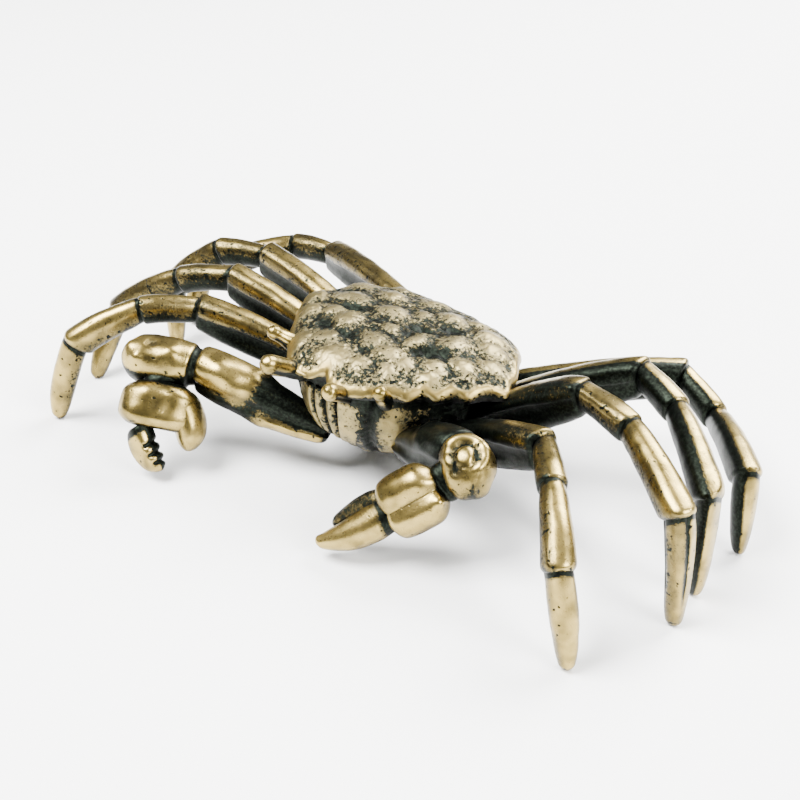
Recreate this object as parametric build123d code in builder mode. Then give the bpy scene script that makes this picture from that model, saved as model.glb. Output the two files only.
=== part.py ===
from build123d import *
import os
from math import atan2, cos, degrees, hypot, radians, sin

# Crab ornament in cast brass. Body, carapace, claws and leg pieces are separate castings. Each limb piece
# has a square tenon at its inner end, soldered into a blind socket of the piece before it, and what
# stands on the body is cut to fit its surface, so the crab keeps one rigid pose.
# Millimetres, +Z up, +X to the crab's left, -Y ahead of it, origin on the ground under its middle.

os.makedirs("parts", exist_ok=True)

# Driving dimensions of the whole crab
half_span = 40.0
body_turn_angle, body_roll_angle, body_pitch_angle = 6.0, 1.5, -3.5
body_middle = (0.45, 1.15)

# Fits shared by every soldered joint
solder_gap = 0.05
tenon_side = 1.1
tenon_depth = 0.9

# Half of a section, from ridge to keel, in shares of half its width and half its height: of a limb
# piece, and of the slender toes and claw digits
limb_outline_shares = ((0.32, 1), (0.92, 0.5), (0.94, -0.42), (0, -1))
digit_outline_shares = ((0, 1), (0.94, 0.15), (0.5, -0.92))

# Body under the carapace: its outline at the floor of the carapace, and the bands of its bowl below
body_half_width, body_half_length, body_ahead = 10.6, 10.2, 0.4
belly_height, carapace_floor = 3.0, 12.6
body_outline_shares = (
    (0, 1), (0.4, 0.98), (0.72, 0.72), (0.93, 0.36), (1, -0.05), (0.94, -0.5), (0.68, -0.86), (0.3, -1), (0, -1)
)
# Inset of each band as a share of the half length, and its height as a share of the whole
body_band_shares = ((0.03, 0.38), (0.14, 0.36), (0.28, 0.26))

# Carapace: a toothed margin cut from a low dome
carapace_half_width, carapace_half_length = 15.4, 11.6
carapace_outline_shares = (
    (0, 0.94), (0.09, 1.0), (0.2, 1.0), (0.3, 0.97), (0.37, 0.86), (0.5, 0.7),
    (0.58, 0.63), (0.62, 0.49), (0.72, 0.46), (0.75, 0.29), (0.86, 0.23), (0.87, 0.05),
    (1.0, -0.03), (0.93, -0.2), (0.9, -0.4), (0.8, -0.62), (0.62, -0.82), (0.4, -0.93), (0, -0.97),
)
dome_outline_shares = (
    (0, 1.01), (0.3, 0.99), (0.58, 0.65), (0.88, 0.25), (1.01, -0.03), (0.97, -0.3),
    (0.86, -0.6), (0.62, -0.84), (0.38, -0.95), (0, -0.98),
)
carapace_rise, carapace_lip = 2.7, 0.4
dome_band_shares = ((0.1, 0.4), (0.2, 0.34), (0.22, 0.17), (0.2, 0.09))

# Bosses on the carapace: place in shares of its half width and half length, and size share
boss_shares = (
    (0, 0.68, 0.8), (0.16, 0.82, 0.9), (0.24, 0.54, 1.1), (0.42, 0.6, 0.8), (0.34, 0.3, 1.0), (0.56, 0.4, 0.95),
    (0.52, 0.08, 1.1), (0.76, -0.02, 0.8), (0.32, -0.06, 0.9), (0.62, -0.3, 0.95), (0.36, -0.4, 1.0),
    (0.46, -0.66, 0.9), (0.0, -0.3, 0.9),
)
boss_radius = 1.6
boss_rise = 0.35
boss_root = 0.8
boss_slope_angle = 38.0
boss_sides = 6

# Tail flap folded under the body: stepped segments, narrowing ahead
flap_length, flap_width, flap_thickness = 8.6, 5.6, 0.7
flap_tip_share = 0.35
flap_groove = 0.3
flap_segments = 6

# Mouth plates on the face of the body
mouth_top, mouth_bottom = 10.6, 5.4
mouth_width, mouth_foot_width = 3.3, 2.0
mouth_proud = 0.6
mouth_seam = 0.35
mouth_rib_share = 0.45

# Eye stalks and brow spines: tip and foot of each in shares of the carapace's half width and half length.
# They pass the carapace's margin from a drop below its floor to a rise above it.
peg_place_shares = {
    "left_eye": ((0.247, 1.224), (0.188, 0.81)),
    "right_eye": ((-0.305, 1.31), (-0.234, 0.81)),
    "left_brow_spine": ((0.474, 0.888), (0.39, 0.64)),
    "right_brow_spine": ((-0.65, 0.836), (-0.48, 0.53)),
}
peg_rise, peg_drop = 1.7, 1.1
peg_width = 1.2
knob_width, knob_length, knob_bevel = 1.7, 1.4, 0.4
peg_sides = 8

# Walking legs, first to fourth from the front
thigh_lengths = {"left": (17.0, 17.5, 19.0, 20.0), "right": (17.0, 17.5, 19.0, 22.4)}
knee_lengths = {"left": (6.4, 6.6, 5.8, 6.0), "right": (6.4, 6.6, 5.8, 6.0)}
shin_lengths = {"left": (8.5, 11.0, 12.2, 13.0), "right": (8.5, 10.6, 9.2, 13.0)}
thigh_width, thigh_height = 3.1, 4.9
knee_width, knee_height = 2.8, 3.2
shin_width, shin_height = 3.0, 3.5
toe_width, toe_height = 2.4, 2.8

# Shares of a piece's length, width and height at each of its sections
thigh_form_shares = ((-0.14, 0.8, 0.7), (0.5, 1.0, 1.0), (1, 0.9, 0.66))
knee_form_shares = ((0, 0.9, 0.92), (1, 0.98, 0.98))
shin_form_shares = ((0, 0.8, 0.78), (0.5, 1.0, 1.0), (1, 0.84, 0.84))
toe_form_shares = ((0, 0.96, 0.96), (0.5, 0.96, 0.94), (1.05, 0.34, 0.34))

# Where each leg leaves the body: sideways from its middle line, ahead of its middle, and height
hip_reaches = {"left": (8.6, 8.6, 8.6, 8.6), "right": (8.6, 8.6, 8.6, 5.2)}
hips_ahead = {"left": (2.0, -1.4, -4.6, -7.4), "right": (2.0, -1.4, -4.6, -9.5)}
hip_heights = {"left": (5.8, 5.6, 6.4, 8.0), "right": (7.0, 7.2, 8.5, 10.3)}

# Pose of each leg in degrees: turn ahead from straight sideways and rise, of thigh, knee, shin and toe
leg_angles = {
    "left": (
        ((15, 24), (51, 0), (52, -26), (28, -74)),
        ((1, 34), (17, -5), (35, -16), (0, -86)),
        ((-15, 26), (26, -10), (47, -11), (50, -94)),
        ((-39, 4), (20, -23), (51, 4), (53, -79)),
    ),
    "right": (
        ((20, 19), (48, 5), (50, -25), (44, -72)),
        ((10, 23), (20, -9), (21, -33), (87, -57)),
        ((-6, 15), (21, 0), (18, -41), (128, -70)),
        ((-22, -0.5), (6, -2), (46, -16), (80, -76)),
    ),
}
outward = {"left": 1, "right": -1}

# Claws: each joint's place in shares of the half span, and the way the claw's broad face looks
claw_face_turn_angle, claw_face_rise_angle = 52.0, 31.0
claw_joint_shares = {
    "left": {
        "root": (0.17, -0.144, 0.17),
        "elbow": (0.405, -0.202, 0.26),
        "crown": (0.515, -0.299, 0.275),
        "seat": (0.415, -0.302, 0.23),
        "knuckle": (0.305, -0.377, 0.138),
        "hinge": (0.298, -0.384, 0.128),
        "tip": (0.16, -0.487, 0.045),
        "thumb_root": (0.305, -0.354, 0.168),
        "thumb_tip": (0.172, -0.434, 0.075),
    },
    "right": {
        "root": (-0.09, -0.189, 0.14),
        "elbow": (-0.425, -0.299, 0.255),
        "crown": (-0.583, -0.399, 0.28),
        "seat": (-0.485, -0.402, 0.235),
        "knuckle": (-0.46, -0.474, 0.13),
        "hinge": (-0.468, -0.491, 0.122),
        "tip": (-0.39, -0.494, 0.033),
        "thumb_root": (-0.41, -0.379, 0.18),
        "thumb_tip": (-0.355, -0.414, 0.068),
    },
}
arm_width, arm_height = 4.4, 5.8
wrist_width, wrist_height = 5.4, 5.6
palm_width, palm_depth = 6.6, 4.4
thumb_width, thumb_depth = 2.7, 3.0
finger_width, finger_depth = 2.7, 2.9
arm_form_shares = ((0, 0.72, 0.66), (0.55, 1.0, 1.0), (1, 0.74, 0.74))
wrist_form_shares = ((0, 0.82, 0.82), (0.45, 1.0, 1.0), (0.84, 0.86, 0.88))
palm_form_shares = ((0.22, 0.94, 0.94), (0.6, 1.0, 1.0), (1, 0.86, 0.84))
wrist_cap_share, palm_neck_share = 0.5, 0.62
collar_width, collar_depth = 4.6, 3.4
digit_form_shares = ((-0.16, 0.9, 0.92), (0.4, 1.0, 0.96), (1, 0.26, 0.26))
digit_bow_share = 0.1


def heading(side, turn, rise):
    """Unit vector of a limb that is turned ahead from straight sideways and then raised."""
    flat = cos(radians(rise))
    return Vector(outward[side] * cos(radians(turn)) * flat, -sin(radians(turn)) * flat, sin(radians(rise)))


def level(side, turn):
    """Level axis across a limb, the same whatever its rise."""
    return Vector(sin(radians(turn)), outward[side] * cos(radians(turn)), 0)


def across(place, ahead, level_axis):
    """Plane across a limb: its normal runs along the limb and its Y axis points to the limb's back."""
    normal = ahead.normalized()
    sideways = (level_axis - normal * level_axis.dot(normal)).normalized()
    return Plane(origin=place, x_dir=sideways, z_dir=normal)


def facing_back(plane):
    """The same plane seen from behind, with its Y axis kept."""
    return Plane(origin=plane.origin, x_dir=-plane.x_dir, z_dir=-plane.z_dir)


def stance_plane(height):
    """Level plane turned with the body: X to the crab's left, Y towards its tail."""
    turn = radians(-body_turn_angle)
    return Plane(origin=(*body_middle, height), x_dir=(cos(turn), sin(turn), 0))


def body_plane(height):
    """Plane across the body, which leans a little left and back about the floor of the carapace."""
    stance = stance_plane(carapace_floor)
    leaning = stance.rotated((body_pitch_angle, body_roll_angle, 0))
    return leaning.offset(height - carapace_floor)


def mirrored_outline(shares, half_width, half_length):
    """Closed outline in the body's plane from the points of its left half, first and last on the middle."""
    half = [(x * half_width, -y * half_length) for x, y in shares]
    return half + [(-x, y) for x, y in reversed(half) if x > 0]


def polygon(plane, points):
    """Face with straight edges through the points."""
    with BuildSketch(plane) as section:
        with BuildLine():
            Polyline(*points, close=True)
        make_face()
    return section.sketch


def ridged(plane, width, height, outline_shares=limb_outline_shares):
    """Limb section: two facetted flanks between a narrow ridge above and a keel below."""
    half = [(x * width / 2, y * height / 2) for x, y in outline_shares]
    return polygon(plane, half + [(-x, y) for x, y in reversed(half) if x > 0])


def square(plane, side_length):
    """Square section of a tenon or its socket."""
    with BuildSketch(plane) as section:
        Rectangle(side_length, side_length)
    return section.sketch


def cast(piece, name):
    """Label a finished piece and write it."""
    piece.part.label = name
    export_step(piece.part, f"parts/{name}.step")


def spaced(first, last, form_shares, ahead, level_axis, width, height, first_plane=None, last_plane=None):
    """Sections of a piece between two joints, square to it except on the joints' own planes."""
    sections = []
    for along, width_share, height_share in form_shares:
        plane = across(first + (last - first) * along, ahead, level_axis)
        if along == 0 and first_plane:
            plane = first_plane
        if along == 1 and last_plane:
            plane = last_plane
        sections.append((plane, width * width_share, height * height_share))
    return sections


def limb(name, sections, outline_shares, tenon_on=None, socket_in=None, fitted_to=()):
    """Loft one limb piece with its tenon and socket, and cut it to the surface that it stands on."""
    with BuildPart() as piece:
        loft([ridged(*section, outline_shares) for section in sections])
        split(bisect_by=Plane.XY, keep=Keep.TOP)
        if tenon_on:
            extrude(square(tenon_on, tenon_side), amount=-tenon_depth)
        if socket_in:
            socket = square(socket_in, tenon_side + 2 * solder_gap)
            extrude(socket, amount=-(tenon_depth + solder_gap), mode=Mode.SUBTRACT)
        for neighbour in fitted_to:
            add(neighbour, mode=Mode.SUBTRACT)
    cast(piece, name)
    return piece.part


def sized_bands(band_shares, half_length, rise):
    """Bands of a stack in real sizes: inset and height of each."""
    return [(inset_share * half_length, rise_share * rise) for inset_share, rise_share in band_shares]


def stack(plane, outline, bands):
    """Extrude an outline band after band, each band sloping inwards to its own inset."""
    face = polygon(plane, outline)
    for inset, rise in bands:
        extrude(face, amount=rise, taper=degrees(atan2(inset, rise)))
        face = faces().sort_by(Axis(plane.origin, plane.z_dir))[-1]


def inset_rise(inset, bands):
    """Height that a stack has reached at an inset from its outline."""
    rise = 0
    for band_inset, band_rise in bands:
        rise += band_rise * min(inset, band_inset) / band_inset
        inset -= min(inset, band_inset)
    return rise


def edge_distance(place, outline):
    """Least distance from a place to the edges of the outline round it."""
    distances = []
    for (x1, y1), (x2, y2) in zip(outline, outline[1:] + outline[:1]):
        area = (x2 - x1) * (place[1] - y1) - (y2 - y1) * (place[0] - x1)
        distances.append(abs(area) / hypot(x2 - x1, y2 - y1))
    return min(distances)


# Body: a bowl that carries everything else, stacked from its rim towards its belly
body_bands = sized_bands(body_band_shares, body_half_length, carapace_floor - belly_height)
with BuildPart() as bowl:
    rim = mirrored_outline(body_outline_shares, body_half_width, body_half_length)
    stack(Plane.XY, [(x, y - body_ahead) for x, y in rim], body_bands)
with BuildPart() as body:
    add(facing_back(body_plane(carapace_floor)).location * bowl.part)
cast(body, "body")

# Carapace: its toothed margin overhangs the body all round and its bosses stand on the dome
dome_outline = mirrored_outline(dome_outline_shares, carapace_half_width, carapace_half_length)
dome_bands = sized_bands(dome_band_shares, carapace_half_length, carapace_rise)
with BuildPart() as dome:
    extrude(polygon(body_plane(carapace_floor), dome_outline), amount=carapace_lip)
    stack(body_plane(carapace_floor + carapace_lip), dome_outline, dome_bands)
with BuildPart() as carapace:
    margin = mirrored_outline(carapace_outline_shares, carapace_half_width, carapace_half_length)
    extrude(polygon(body_plane(carapace_floor), margin), amount=carapace_lip + carapace_rise)
    add(dome.part, mode=Mode.INTERSECT)
    for x_share, y_share, size_share in boss_shares:
        x, y = x_share * carapace_half_width, -y_share * carapace_half_length
        height = carapace_floor + carapace_lip + inset_rise(edge_distance((x, y), dome_outline), dome_bands)
        with BuildSketch(body_plane(height - boss_root)) as boss:
            with Locations(*[(mirror_x, y) for mirror_x in sorted({x, -x})]):
                RegularPolygon(boss_radius * size_share, boss_sides)
        extrude(boss.sketch, amount=boss_root + boss_rise, taper=boss_slope_angle)
cast(carapace, "carapace")


# Tail flap: segments that step down towards its tip, folded flat under the belly
with BuildPart() as tail_flap:
    segment_length = flap_length / flap_segments
    for i in range(flap_segments):
        rear, front = flap_length / 2 - i * segment_length, flap_length / 2 - (i + 1) * segment_length
        rear_share = 1 - (1 - flap_tip_share) * i / flap_segments
        front_share = 1 - (1 - flap_tip_share) * (i + 1) / flap_segments
        outline = [
            (flap_width / 2 * rear_share, rear), (flap_width / 2 * front_share, front),
            (-flap_width / 2 * front_share, front), (-flap_width / 2 * rear_share, rear),
        ]
        segment_thickness = flap_thickness if i % 2 == 0 else flap_thickness - flap_groove
        extrude(polygon(body_plane(belly_height), outline), amount=-segment_thickness)
cast(tail_flap, "tail_flap")


# Mouth plates: each has a raised rib along its middle and is cut to the face of the body
def face_reach(height):
    """How far ahead of its middle the body's face lies at a height."""
    drop, inset = carapace_floor - height, 0
    for band_inset, band_drop in body_bands:
        inset += band_inset * min(drop, band_drop) / band_drop
        drop -= min(drop, band_drop)
    return body_half_length + body_ahead - inset


def make_mouth_plate(side):
    """One mouth plate, left or right of the seam between them."""
    middle = (mouth_top + mouth_bottom) / 2
    with BuildPart() as plate:
        sections = []
        for height, width in ((mouth_bottom, mouth_foot_width), (middle, mouth_width), (mouth_top, mouth_width)):
            inner, outer = mouth_seam / 2, mouth_seam / 2 + width
            rib = inner + width * mouth_rib_share
            front = -(face_reach(height) + mouth_proud)
            back = front + 4 * mouth_proud
            points = [(inner, back), (inner, front), (rib, front - mouth_proud / 2), (outer, front), (outer, back)]
            sections.append(polygon(body_plane(height), [(outward[side] * x, y) for x, y in points]))
        loft(sections, ruled=True)
        add(body.part, mode=Mode.SUBTRACT)
    cast(plate, f"{side}_mouth_plate")
    return plate.part


mouth_plates = {side: make_mouth_plate(side) for side in outward}


# Eye stalks and brow spines: pegs with a knob at the end, seated on the face under the carapace
def on_carapace(place_shares, height):
    """Place at a height of the body from its shares of the carapace's half width and half length."""
    x_share, y_share = place_shares
    local = (x_share * carapace_half_width, -y_share * carapace_half_length, 0)
    return Vector(*body_plane(height).from_local_coords(local))


def make_peg(name, tip_shares, foot_shares):
    """One peg from its seat on the body to its knob."""
    foot_place = on_carapace(foot_shares, carapace_floor - peg_drop)
    ahead = on_carapace(tip_shares, carapace_floor + peg_rise) - foot_place
    foot = across(foot_place, ahead, Vector(1, 0, 0))
    knob = foot.offset(ahead.length - knob_length)
    with BuildPart() as peg:
        with BuildSketch(foot) as stalk:
            RegularPolygon(peg_width / 2, peg_sides)
        extrude(stalk.sketch, amount=ahead.length - knob_length / 2)
        with BuildSketch(knob) as end:
            RegularPolygon(knob_width / 2, peg_sides)
        extrude(end.sketch, amount=knob_length)
        ends = faces().filter_by(GeomType.PLANE).sort_by(Axis(foot.origin, foot.z_dir))
        chamfer(ends[-1].edges(), length=knob_bevel)
        add(body.part, mode=Mode.SUBTRACT)
        add(carapace.part, mode=Mode.SUBTRACT)
    cast(peg, name)


for name, (tip_shares, foot_shares) in peg_place_shares.items():
    make_peg(name, tip_shares, foot_shares)


def leg_layout(side, number):
    """Places, headings, level axes and shared joint planes of one leg, from its hip to the ground."""
    poses = leg_angles[side][number]
    lengths = (thigh_lengths[side][number], knee_lengths[side][number], shin_lengths[side][number])
    ahead = [heading(side, turn, rise) for turn, rise in poses]
    levels = [level(side, turn) for turn, _ in poses]
    hip = stance_plane(hip_heights[side][number]).from_local_coords(
        (outward[side] * hip_reaches[side][number], -hips_ahead[side][number], 0)
    )
    places = [Vector(*hip)]
    for direction, length in zip(ahead, lengths):
        places.append(places[-1] + direction * length)
    heel = places[-1]
    places.append(heel + ahead[-1] * (heel.Z / -ahead[-1].Z))
    joints = [across(places[0], ahead[0], levels[0])]
    for i in range(1, len(ahead)):
        joints.append(across(places[i], ahead[i - 1] + ahead[i], levels[i - 1] + levels[i]))
    return places, ahead, levels, joints


def make_leg(side, number, thigh_ahead):
    """Thigh, knee, shin and toe of one leg. Returns the thigh, against which the next one is fitted."""
    places, ahead, levels, joints = leg_layout(side, number)
    name = f"{side}_leg_{number + 1}"
    pieces = (
        ("thigh", limb_outline_shares, thigh_form_shares, thigh_width, thigh_height),
        ("knee", limb_outline_shares, knee_form_shares, knee_width, knee_height),
        ("shin", limb_outline_shares, shin_form_shares, shin_width, shin_height),
        ("toe", digit_outline_shares, toe_form_shares, toe_width, toe_height),
    )
    cast_pieces = []
    for i, (piece, outline_shares, form_shares, width, height) in enumerate(pieces):
        outer_joint = joints[i + 1] if i + 1 < len(joints) else None
        sections = spaced(
            places[i], places[i + 1], form_shares, ahead[i], levels[i], width, height, joints[i], outer_joint
        )
        inner_joint = joints[i] if i > 0 else None
        seat = (body.part, carapace.part, *thigh_ahead) if i == 0 else ()
        cast_pieces.append(limb(f"{name}_{piece}", sections, outline_shares, inner_joint, outer_joint, seat))
    return cast_pieces[:1]


for side in outward:
    thigh_ahead = []
    for number in range(len(thigh_lengths[side])):
        thigh_ahead = make_leg(side, number, thigh_ahead)


def bowed(first, last, side_axis, form_shares, face, width, depth):
    """Sections of a digit that bows towards one side between its root and its tip."""
    sections = []
    reach = last - first
    for along, width_share, depth_share in form_shares:
        bow = side_axis * (reach.length * digit_bow_share * 4 * along * (1 - along))
        slope = side_axis * (reach.length * digit_bow_share * 4 * (1 - 2 * along))
        ahead = reach + slope
        plane = across(first + reach * along + bow, ahead, face.cross(ahead))
        sections.append((plane, width * width_share, depth * depth_share))
    return sections


def make_claw(side):
    """Arm, wrist, palm with its fixed thumb, and the finger of one claw."""
    at = {
        joint: Vector(*[share * half_span for share in shares])
        for joint, shares in claw_joint_shares[side].items()
    }
    face = heading("left", claw_face_turn_angle, claw_face_rise_angle)
    arm_ahead, wrist_ahead = at["elbow"] - at["root"], at["crown"] - at["elbow"]
    palm_ahead = at["knuckle"] - at["seat"]
    upward = Vector(0, 0, 1)
    elbow = across(
        at["elbow"], arm_ahead.normalized() + wrist_ahead.normalized(), upward.cross(arm_ahead + wrist_ahead)
    )
    seat = across(at["seat"], palm_ahead, face.cross(palm_ahead))
    knuckle = across(at["knuckle"], palm_ahead, face.cross(palm_ahead))
    arm = spaced(
        at["root"], at["elbow"], arm_form_shares, arm_ahead, upward.cross(arm_ahead),
        arm_width, arm_height, None, elbow,
    )
    seats = (body.part, carapace.part, mouth_plates[side])
    limb(f"{side}_claw_arm", arm, limb_outline_shares, None, elbow, seats)
    wrist_sections = spaced(
        at["elbow"], at["crown"], wrist_form_shares, wrist_ahead, upward.cross(wrist_ahead),
        wrist_width, wrist_height, elbow, None,
    )
    with BuildPart() as wrist:
        loft([ridged(*section) for section in wrist_sections])
        crown = across(at["crown"], wrist_ahead, upward.cross(wrist_ahead))
        cap = ridged(crown, wrist_width * wrist_cap_share, wrist_height * wrist_cap_share)
        loft([ridged(*wrist_sections[-1]), cap], ruled=True)
        extrude(ridged(seat, collar_width, collar_depth), amount=-wrist_width / 2)
        split(bisect_by=seat, keep=Keep.BOTTOM)
        extrude(square(elbow, tenon_side), amount=-tenon_depth)
        socket = square(seat, tenon_side + 2 * solder_gap)
        extrude(socket, amount=-(tenon_depth + solder_gap), mode=Mode.SUBTRACT)
    cast(wrist, f"{side}_claw_wrist")
    palm_sections = spaced(
        at["seat"], at["knuckle"], palm_form_shares, palm_ahead, face.cross(palm_ahead),
        palm_width, palm_depth, None, knuckle,
    )
    apart = (at["thumb_root"] - at["hinge"]).normalized()
    thumb_sections = bowed(
        at["thumb_root"], at["thumb_tip"], apart, digit_form_shares, face, thumb_width, thumb_depth
    )
    finger_sections = bowed(
        at["hinge"], at["tip"], -apart, digit_form_shares, face, finger_width, finger_depth
    )
    with BuildPart() as palm:
        loft([ridged(*section) for section in palm_sections])
        neck = ridged(seat, palm_width * palm_neck_share, palm_depth * palm_neck_share)
        loft([neck, ridged(*palm_sections[0])], ruled=True)
        loft([ridged(*section, digit_outline_shares) for section in thumb_sections])
        extrude(square(seat, tenon_side), amount=-tenon_depth)
    cast(palm, f"{side}_claw_palm")
    limb(f"{side}_claw_finger", finger_sections, digit_outline_shares, None, None, (palm.part,))


for side in outward:
    make_claw(side)
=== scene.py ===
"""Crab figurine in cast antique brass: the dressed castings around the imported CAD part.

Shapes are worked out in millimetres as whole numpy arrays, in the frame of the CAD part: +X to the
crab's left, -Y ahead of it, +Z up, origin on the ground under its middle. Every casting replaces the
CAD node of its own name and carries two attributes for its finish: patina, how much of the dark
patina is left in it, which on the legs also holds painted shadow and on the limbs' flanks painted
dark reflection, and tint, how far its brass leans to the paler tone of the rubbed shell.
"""

from __future__ import annotations

import logging
from dataclasses import dataclass, field
from enum import Enum
from functools import partial
from itertools import product
from math import cos, radians, sin

import bpy
import numpy as np
from mathutils import Matrix

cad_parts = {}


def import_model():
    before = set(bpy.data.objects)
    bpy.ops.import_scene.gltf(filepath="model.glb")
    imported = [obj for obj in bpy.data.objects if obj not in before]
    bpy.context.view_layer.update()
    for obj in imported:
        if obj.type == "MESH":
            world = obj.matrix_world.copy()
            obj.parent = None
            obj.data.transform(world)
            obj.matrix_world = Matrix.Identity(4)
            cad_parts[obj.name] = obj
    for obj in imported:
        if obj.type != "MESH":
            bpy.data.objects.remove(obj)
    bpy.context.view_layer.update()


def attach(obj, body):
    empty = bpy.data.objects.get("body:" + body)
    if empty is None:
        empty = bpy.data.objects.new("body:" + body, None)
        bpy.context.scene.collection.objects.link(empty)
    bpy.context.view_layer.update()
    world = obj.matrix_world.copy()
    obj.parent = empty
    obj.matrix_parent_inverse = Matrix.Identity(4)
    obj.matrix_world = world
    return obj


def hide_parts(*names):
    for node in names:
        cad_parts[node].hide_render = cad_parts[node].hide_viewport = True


log = logging.getLogger("crab")

Array = np.ndarray
Point = tuple[float, float, float]
Table = tuple[tuple[float, ...], ...]

MM = 0.001
ROOT = "root"
UP = np.array([0.0, 0.0, 1.0])

# Driving sizes of the crab in millimetres and degrees, as in its CAD source
HALF_SPAN = 40.0
BODY_MIDDLE = (0.45, 1.15)
BODY_TURN, BODY_ROLL, BODY_PITCH = -6.0, 1.5, -3.5
BELLY_HEIGHT, CARAPACE_FLOOR = 3.0, 12.6

# Lowest and highest corner of the room that the castings stay in, the CAD part's own box. Nothing
# presses on its floor, so the room goes on below the ground. The depth is the last stretch before a
# wall, which takes up what would be past it.
ROOM_LOW = np.array([-40.37, -21.11, -9.0])
ROOM_HIGH = np.array([40.51, 21.44, 16.94])
ROOM_DEPTH = 0.7

# Large odd numbers that scatter the lattice noise's corners, and the mask that keeps 31 bits
SCATTER = (73856093, 19349663, 83492791)
SEED_SCATTER, KEY_SCATTER, KEY_MASK = 1013, 1274126177, 0x7FFFFFFF

# Share of a section that a rounded end closes, so that its last ring isn't a point
CLOSING = 0.99


class Side(Enum):
    """The crab's own left and right, with the sign that leads outward."""

    LEFT = 1
    RIGHT = -1

    @property
    def label(self) -> str:
        """Name of the side as the CAD nodes spell it."""
        return self.name.lower()


def unit(vector: Array) -> Array:
    """The vector at length one."""
    return vector / np.linalg.norm(vector, axis=-1, keepdims=True)


def smooth(share: Array) -> Array:
    """Smoothstep of a share, held between 0 and 1."""
    share = np.clip(share, 0.0, 1.0)
    return share * share * (3 - 2 * share)


def ramp(value: Array, zero_at: float, one_at: float) -> Array:
    """Smoothstep of a value from 0 at one place to 1 at another, rising or falling."""
    return smooth((value - zero_at) / (one_at - zero_at))


def bell(value: Array, centre: float, width: float) -> Array:
    """Bell of height one over a centre, 37% at one width from it."""
    return np.exp(-(((value - centre) / width) ** 2))


def heading(side: Side, turn: float, rise: float) -> Array:
    """Unit vector of a limb turned ahead from straight sideways and then raised, both in degrees."""
    flat = cos(radians(rise))
    return np.array([side.value * cos(radians(turn)) * flat, -sin(radians(turn)) * flat, sin(radians(rise))])


def level(side: Side, turn: float) -> Array:
    """Level axis across a limb."""
    return np.array([sin(radians(turn)), side.value * cos(radians(turn)), 0.0])


def ring_through(points: Array, per_span: int) -> Array:
    """Closed curve through control points.

    Between two neighbours the curve is the Catmull-Rom cubic of the four nearest points.

    Args:
        points: Control points, one a row, with any number of columns.
        per_span: Samples between two neighbours.

    Returns:
        The samples, one a row, in the order of the control points.
    """
    before, here, after, beyond = (np.roll(points, shift, axis=0)[:, None] for shift in (1, 0, -1, -2))
    t = (np.arange(per_span) / per_span)[None, :, None]
    bend = 2 * before - 5 * here + 4 * after - beyond + t * (3 * (here - after) + beyond - before)
    curve = here + 0.5 * t * (after - before + t * bend)
    return curve.reshape(-1, points.shape[1])


def curve_through(table: Table, at: Array) -> Array:
    """Open curve through a table whose first column is the place along it.

    Cubic Hermite pieces whose slope at each row is that between the rows on its two sides.

    Args:
        table: Rows of (place, value, value, ...), in rising order of place.
        at: Places to read the curve at.

    Returns:
        One row of values for each place.
    """
    rows = np.array(table, float)
    knots, values = rows[:, 0], rows[:, 1:]
    slopes = np.gradient(values, knots, axis=0)
    span = np.clip(np.searchsorted(knots, at) - 1, 0, len(knots) - 2)
    width = (knots[span + 1] - knots[span])[:, None]
    t = np.clip((at[:, None] - knots[span][:, None]) / width, 0, 1)
    return (
        (2 * t**3 - 3 * t**2 + 1) * values[span]
        + (t**3 - 2 * t**2 + t) * width * slopes[span]
        + (3 * t**2 - 2 * t**3) * values[span + 1]
        + (t**3 - t**2) * width * slopes[span + 1]
    )


def lattice_noise(points: Array, size: float, seed: int = 0) -> Array:
    """Smooth noise between -1 and 1.

    Each corner of a cubic lattice holds a number hashed from its indices, and a point takes the
    smoothstep blend of the eight corners round it.

    Args:
        points: Places in millimetres, last axis x, y, z.
        size: Lattice spacing in millimetres.
        seed: Picks another field of the same kind.

    Returns:
        One value for each point.
    """
    cell = points / size + 7.3 * seed
    low = np.floor(cell).astype(np.int64)
    share = smooth(cell - low)
    total = np.zeros(points.shape[:-1])
    for corner in product((0, 1), repeat=3):
        x, y, z = np.moveaxis((low + np.array(corner)) * SCATTER, -1, 0)
        key = x ^ y ^ z ^ (seed * SEED_SCATTER)
        key = ((key ^ (key >> 13)) * KEY_SCATTER) & KEY_MASK
        weight = np.prod(np.where(np.array(corner) == 1, share, 1 - share), axis=-1)
        total += weight * (key / KEY_MASK)
    return 2 * total - 1


def rough_noise(points: Array, size: float, seed: int = 0) -> Array:
    """Two octaves of lattice noise, the finer one at half the size and half the strength."""
    return (lattice_noise(points, size, seed) + 0.5 * lattice_noise(points, size / 2, seed + 1)) / 1.5


def grid_normals(grid: Array) -> Array:
    """Outward unit normals of a grid: the cross product of its slopes along its rows and columns.

    Args:
        grid: Points whose rows run along a limb and whose columns run round it.

    Returns:
        One normal for each point.
    """
    along = np.gradient(grid, axis=0)
    around = np.roll(grid, -1, axis=1) - np.roll(grid, 1, axis=1)
    normals = np.cross(along, around)
    length = np.linalg.norm(normals, axis=-1, keepdims=True)
    return normals / np.maximum(length, 1e-9)


def swell(grid: Array, amount: Array) -> Array:
    """The grid moved along its normals, outwards where the amount is positive."""
    return grid + grid_normals(grid) * amount[..., None]


def inside_room(points: Array) -> Array:
    """Draw points in from the walls of the room.

    A point that is over the start of the last depth before a wall keeps only
    depth * (1 - exp(-over / depth)) of that, so it comes near the wall and never past it.

    Args:
        points: Places in millimetres, one a row.

    Returns:
        The places inside the room.
    """
    for sign, wall in ((1, ROOM_HIGH), (-1, -ROOM_LOW)):
        over = np.maximum(sign * points - wall + ROOM_DEPTH, 0)
        points = points - sign * (over - ROOM_DEPTH * (1 - np.exp(-over / ROOM_DEPTH)))
    return points


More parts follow.
